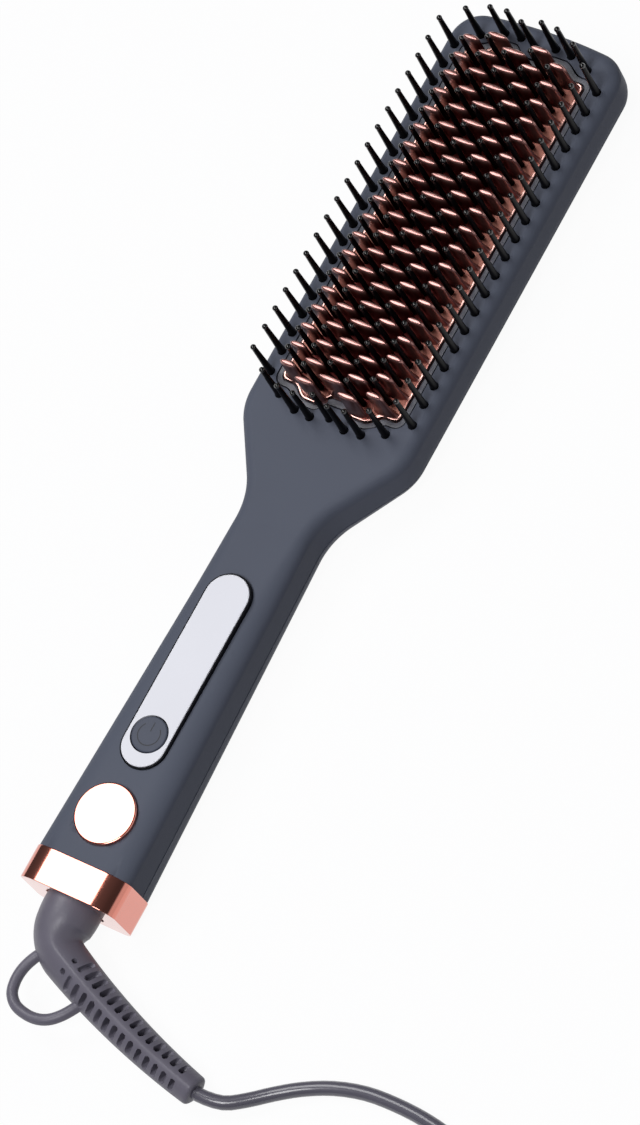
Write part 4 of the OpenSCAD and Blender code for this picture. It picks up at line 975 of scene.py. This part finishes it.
def slot_depth(s, t):
    """Depth of the slots on both sides of the upper and lower ribs, and of two dots before
    them, at distance s and section angle t, 90 at the upper rib."""
    r = relief_r(s)
    a = abs((t - 90 + 180) % 360 - 180)
    along = math.radians(min(a, 180 - a)) * r
    i = round((s - SLOT_S0) / SLOT_PITCH)
    if 0 <= i < SLOT_N:
        past = max(0.0, RIB_HALF + SLOT_HALF - along,
                   along - math.radians(SLOT_REACH) * r + SLOT_HALF)
        d = math.hypot(s - SLOT_S0 - i * SLOT_PITCH, past)
        share = FIRST_SLOT_SHARE + SLOT_SHARE_STEP * i if i < SHALLOW_SLOTS else 1
        full = (r - CORE_R) * share
    else:
        d, full = math.hypot(s - SLOT_S0 + DOT_BEFORE, along - DOT_SIDE), DOT_DEPTH
    return full * min(1.0, (SLOT_HALF - d) / SLOT_EDGE) if d < SLOT_HALF else 0.0


def relief_ring(s, shape, share=1.0, slots=False):
    p, r = relief_point(s), relief_r(s) * share
    u, w = across(relief_dir(s))
    line = []
    for j in range(RELIEF_SIDES):
        t = 360 * j / RELIEF_SIDES
        q = r * squarish(t, shape) - (slot_depth(s, t) if slots else 0)
        line.append(tuple(p + q * (cosd(t) * u + sind(t) * w)))
    return line


rings, s = [], -1.5
while s < R_LEN - 1.2:
    shape = mix(2, 1.5, smooth((s - R_STRAIGHT) / R_ELBOW_LEN))
    rings.append(relief_ring(s, shape, slots=s > ARM_S0))
    if s < ARM_S0:
        s = s + 0.5 if s + 0.5 < ARM_S0 - 0.01 else ARM_S0
    else:
        s += 0.2 if s > ARM_S0 + 1.5 else 0.4
rings += [relief_ring(R_LEN - before, 1.5, share) for share, before in (
    (1.0, 1.2), (0.985, 0.7), (0.93, 0.3), (0.82, 0.06), (0.66, 0.0))]
relief = build("strain_relief_sleeve", [skin(rings)], ["vinyl"], sharp=38, weighted=False)
ride(relief, "cord_swivel", "strain_relief", slot="relief")

LOOP_AT, LOOP_R = Vector((TAIL_X - 15, 0, SWIVEL_Z)), 1.6
loop_line = through([LOOP_AT + Vector(p) for p in (
    (3, -1.5, 0), (-0.5, 1.8, 0), (-4, 3.7, 0), (-7.3, 4.6, 0), (-10.6, 4.6, 0), (-13.7, 3.6, 0),
    (-16.1, 0.9, 0), (-17.1, -3, 0), (-17, -6.7, 0), (-15.8, -9.9, 0), (-13.5, -12.6, 0),
    (-10.4, -14.8, -0.2), (-7.8, -16.1, -0.5), (-5.6, -16.9, -0.8))], 5)
loop = build("hanging_eye", [sweep(loop_line, LOOP_R, 24)], ["vinyl"], sharp=60, weighted=False)
ride(loop, "cord_swivel", "hanging_loop", slot="relief")

# ------------------------------------------------------------------ carried-over CAD nodes
for cad_name, mat in (
        ("ptc_heaters", "ceramic"), ("electrode_strips", "alu"), ("mica_sheet", "mica"),
        ("clamp_plate", "alu"), ("clamp_screws", "steel"), ("thermistor", "resin"),
        ("thermal_fuse", "ceramic"), ("heater_leads", "silicone"), ("main_board", "pcb"),
        ("board_parts", "chip"), ("board_screws", "steel"), ("tact_switch", "chip"),
        ("switch_plunger", "red_pom"), ("swivel_socket", "white_pom"),
        ("swivel_barrel", "vinyl"), ("retaining_clip", "steel"), ("slip_rings", "brass"),
        ("contact_springs", "brass")):
    dress(cad_name, mat)

# ------------------------------------------------------------------ floor and world
FLOOR_HALF, FLOOR_Z = 3, -0.0002
FLOOR_COLOUR, FLOOR_GLOW, FLOOR_GLOW_SHARE = (0.38, 0.38, 0.42, 1), 1.06, 0.9
WHITE = (1, 1, 1, 1)


def maths(tree, operation, a, b):
    return node(tree, "Math", {0: a, 1: b}, operation=operation).outputs[0]


def blend(tree, share, a, b):
    return node(tree, "MixShader", {"Fac": share, 1: a, 2: b}).outputs[0]


# the floor is white to the camera and to gloss and glass, and keeps a share of its shadows
floor_mat = bpy.data.materials.new("floor_white")
floor_mat.use_nodes = True
tree = floor_mat.node_tree
tree.nodes.clear()
ray = node(tree, "LightPath").outputs
seen = maths(tree, "MAXIMUM", ray["Is Camera Ray"], ray["Is Glossy Ray"])
seen = maths(tree, "MAXIMUM", seen, ray["Is Transmission Ray"])
matt = node(tree, "BsdfDiffuse", {"Color": FLOOR_COLOUR})
glow = node(tree, "Emission", {"Color": WHITE, "Strength": FLOOR_GLOW})
surface = blend(tree, maths(tree, "MULTIPLY", seen, FLOOR_GLOW_SHARE), matt.outputs[0],
                glow.outputs[0])
node(tree, "OutputMaterial", {"Surface": surface})
mesh = bpy.data.meshes.new("floor")
mesh.from_pydata([(-FLOOR_HALF, -FLOOR_HALF, FLOOR_Z), (FLOOR_HALF, -FLOOR_HALF, FLOOR_Z),
                  (FLOOR_HALF, FLOOR_HALF, FLOOR_Z), (-FLOOR_HALF, FLOOR_HALF, FLOOR_Z)], [],
                 [(0, 1, 2, 3)])
mesh.materials.append(floor_mat)
floor = bpy.data.objects.new("floor", mesh)
scene.collection.objects.link(floor)

# The world is a soft dim light that brightens towards SOFT_FROM. The camera and glass see it
# white, and gloss sees a white panel round PANEL_FROM.
SOFT_FROM, PANEL_FROM = (0.23, 0.46, 0.86), (0.1, -0.86, -0.5)
SOFT_STOPS = ((0.0, (0.06, 0.06, 0.065)), (0.55, (0.07, 0.07, 0.07 * 1.01)),
              (0.88, (0.11, 0.11, 0.11 * 1.01)), (1.0, (0.2, 0.2, 0.2)))
PANEL_EDGE, PANEL_FULL, PANEL_SHARE = 0.40, 0.52, 0.8
world = bpy.data.worlds.new("studio")
scene.world = world
world.use_nodes = True
tree = world.node_tree
tree.nodes.clear()
way = node(tree, "TexCoord").outputs["Generated"]


def towards(direction):
    """How far a ray goes in a direction, 1 straight at it."""
    return node(tree, "VectorMath", {0: way, 1: unit(direction)},
                operation="DOT_PRODUCT").outputs["Value"]


ramp = node(tree, "ValToRGB", {"Fac": towards(SOFT_FROM)})
stops = ramp.color_ramp.elements
for stop, (position, colour) in zip(stops, (SOFT_STOPS[0], SOFT_STOPS[-1])):
    stop.position, stop.color = position, colour + (1,)
for position, colour in SOFT_STOPS[1:-1]:
    stops.new(position).color = colour + (1,)
soft = node(tree, "Background", {"Color": ramp.outputs["Color"]}).outputs[0]
white = node(tree, "Background", {"Color": WHITE}).outputs[0]
panel = node(tree, "MapRange", {"Value": towards(PANEL_FROM), "From Min": PANEL_EDGE,
                                "From Max": PANEL_FULL, "To Max": PANEL_SHARE})
ray = node(tree, "LightPath").outputs
lit = blend(tree, maths(tree, "MULTIPLY", panel.outputs["Result"], ray["Is Glossy Ray"]), soft,
            white)
seen = maths(tree, "MAXIMUM", ray["Is Camera Ray"], ray["Is Transmission Ray"])
node(tree, "OutputWorld", {"Surface": blend(tree, seen, lit, white)})


# ------------------------------------------------------------------ lights
def card(name, direction, half_angle, radiance, far=2.0):
    """Round soft box that the object sees under half_angle degrees, with that radiance."""
    r = far * math.tan(math.radians(half_angle))
    light = bpy.data.lights.new(name, "AREA")
    light.shape = "DISK"
    light.size = 2 * r
    light.energy = radiance * math.pi * math.pi * r * r
    o = bpy.data.objects.new(name, light)
    scene.collection.objects.link(o)
    o.location = tuple(c * far for c in unit(direction))
    o.rotation_mode = "QUATERNION"
    o.rotation_quaternion = (-Vector(o.location)).to_track_quat("-Z", "Y")


card("key", (-0.42, -0.08, 0.90), 12, 10.5)
card("reflector", (0.12, 0.455, 0.877), 15, 5.6)
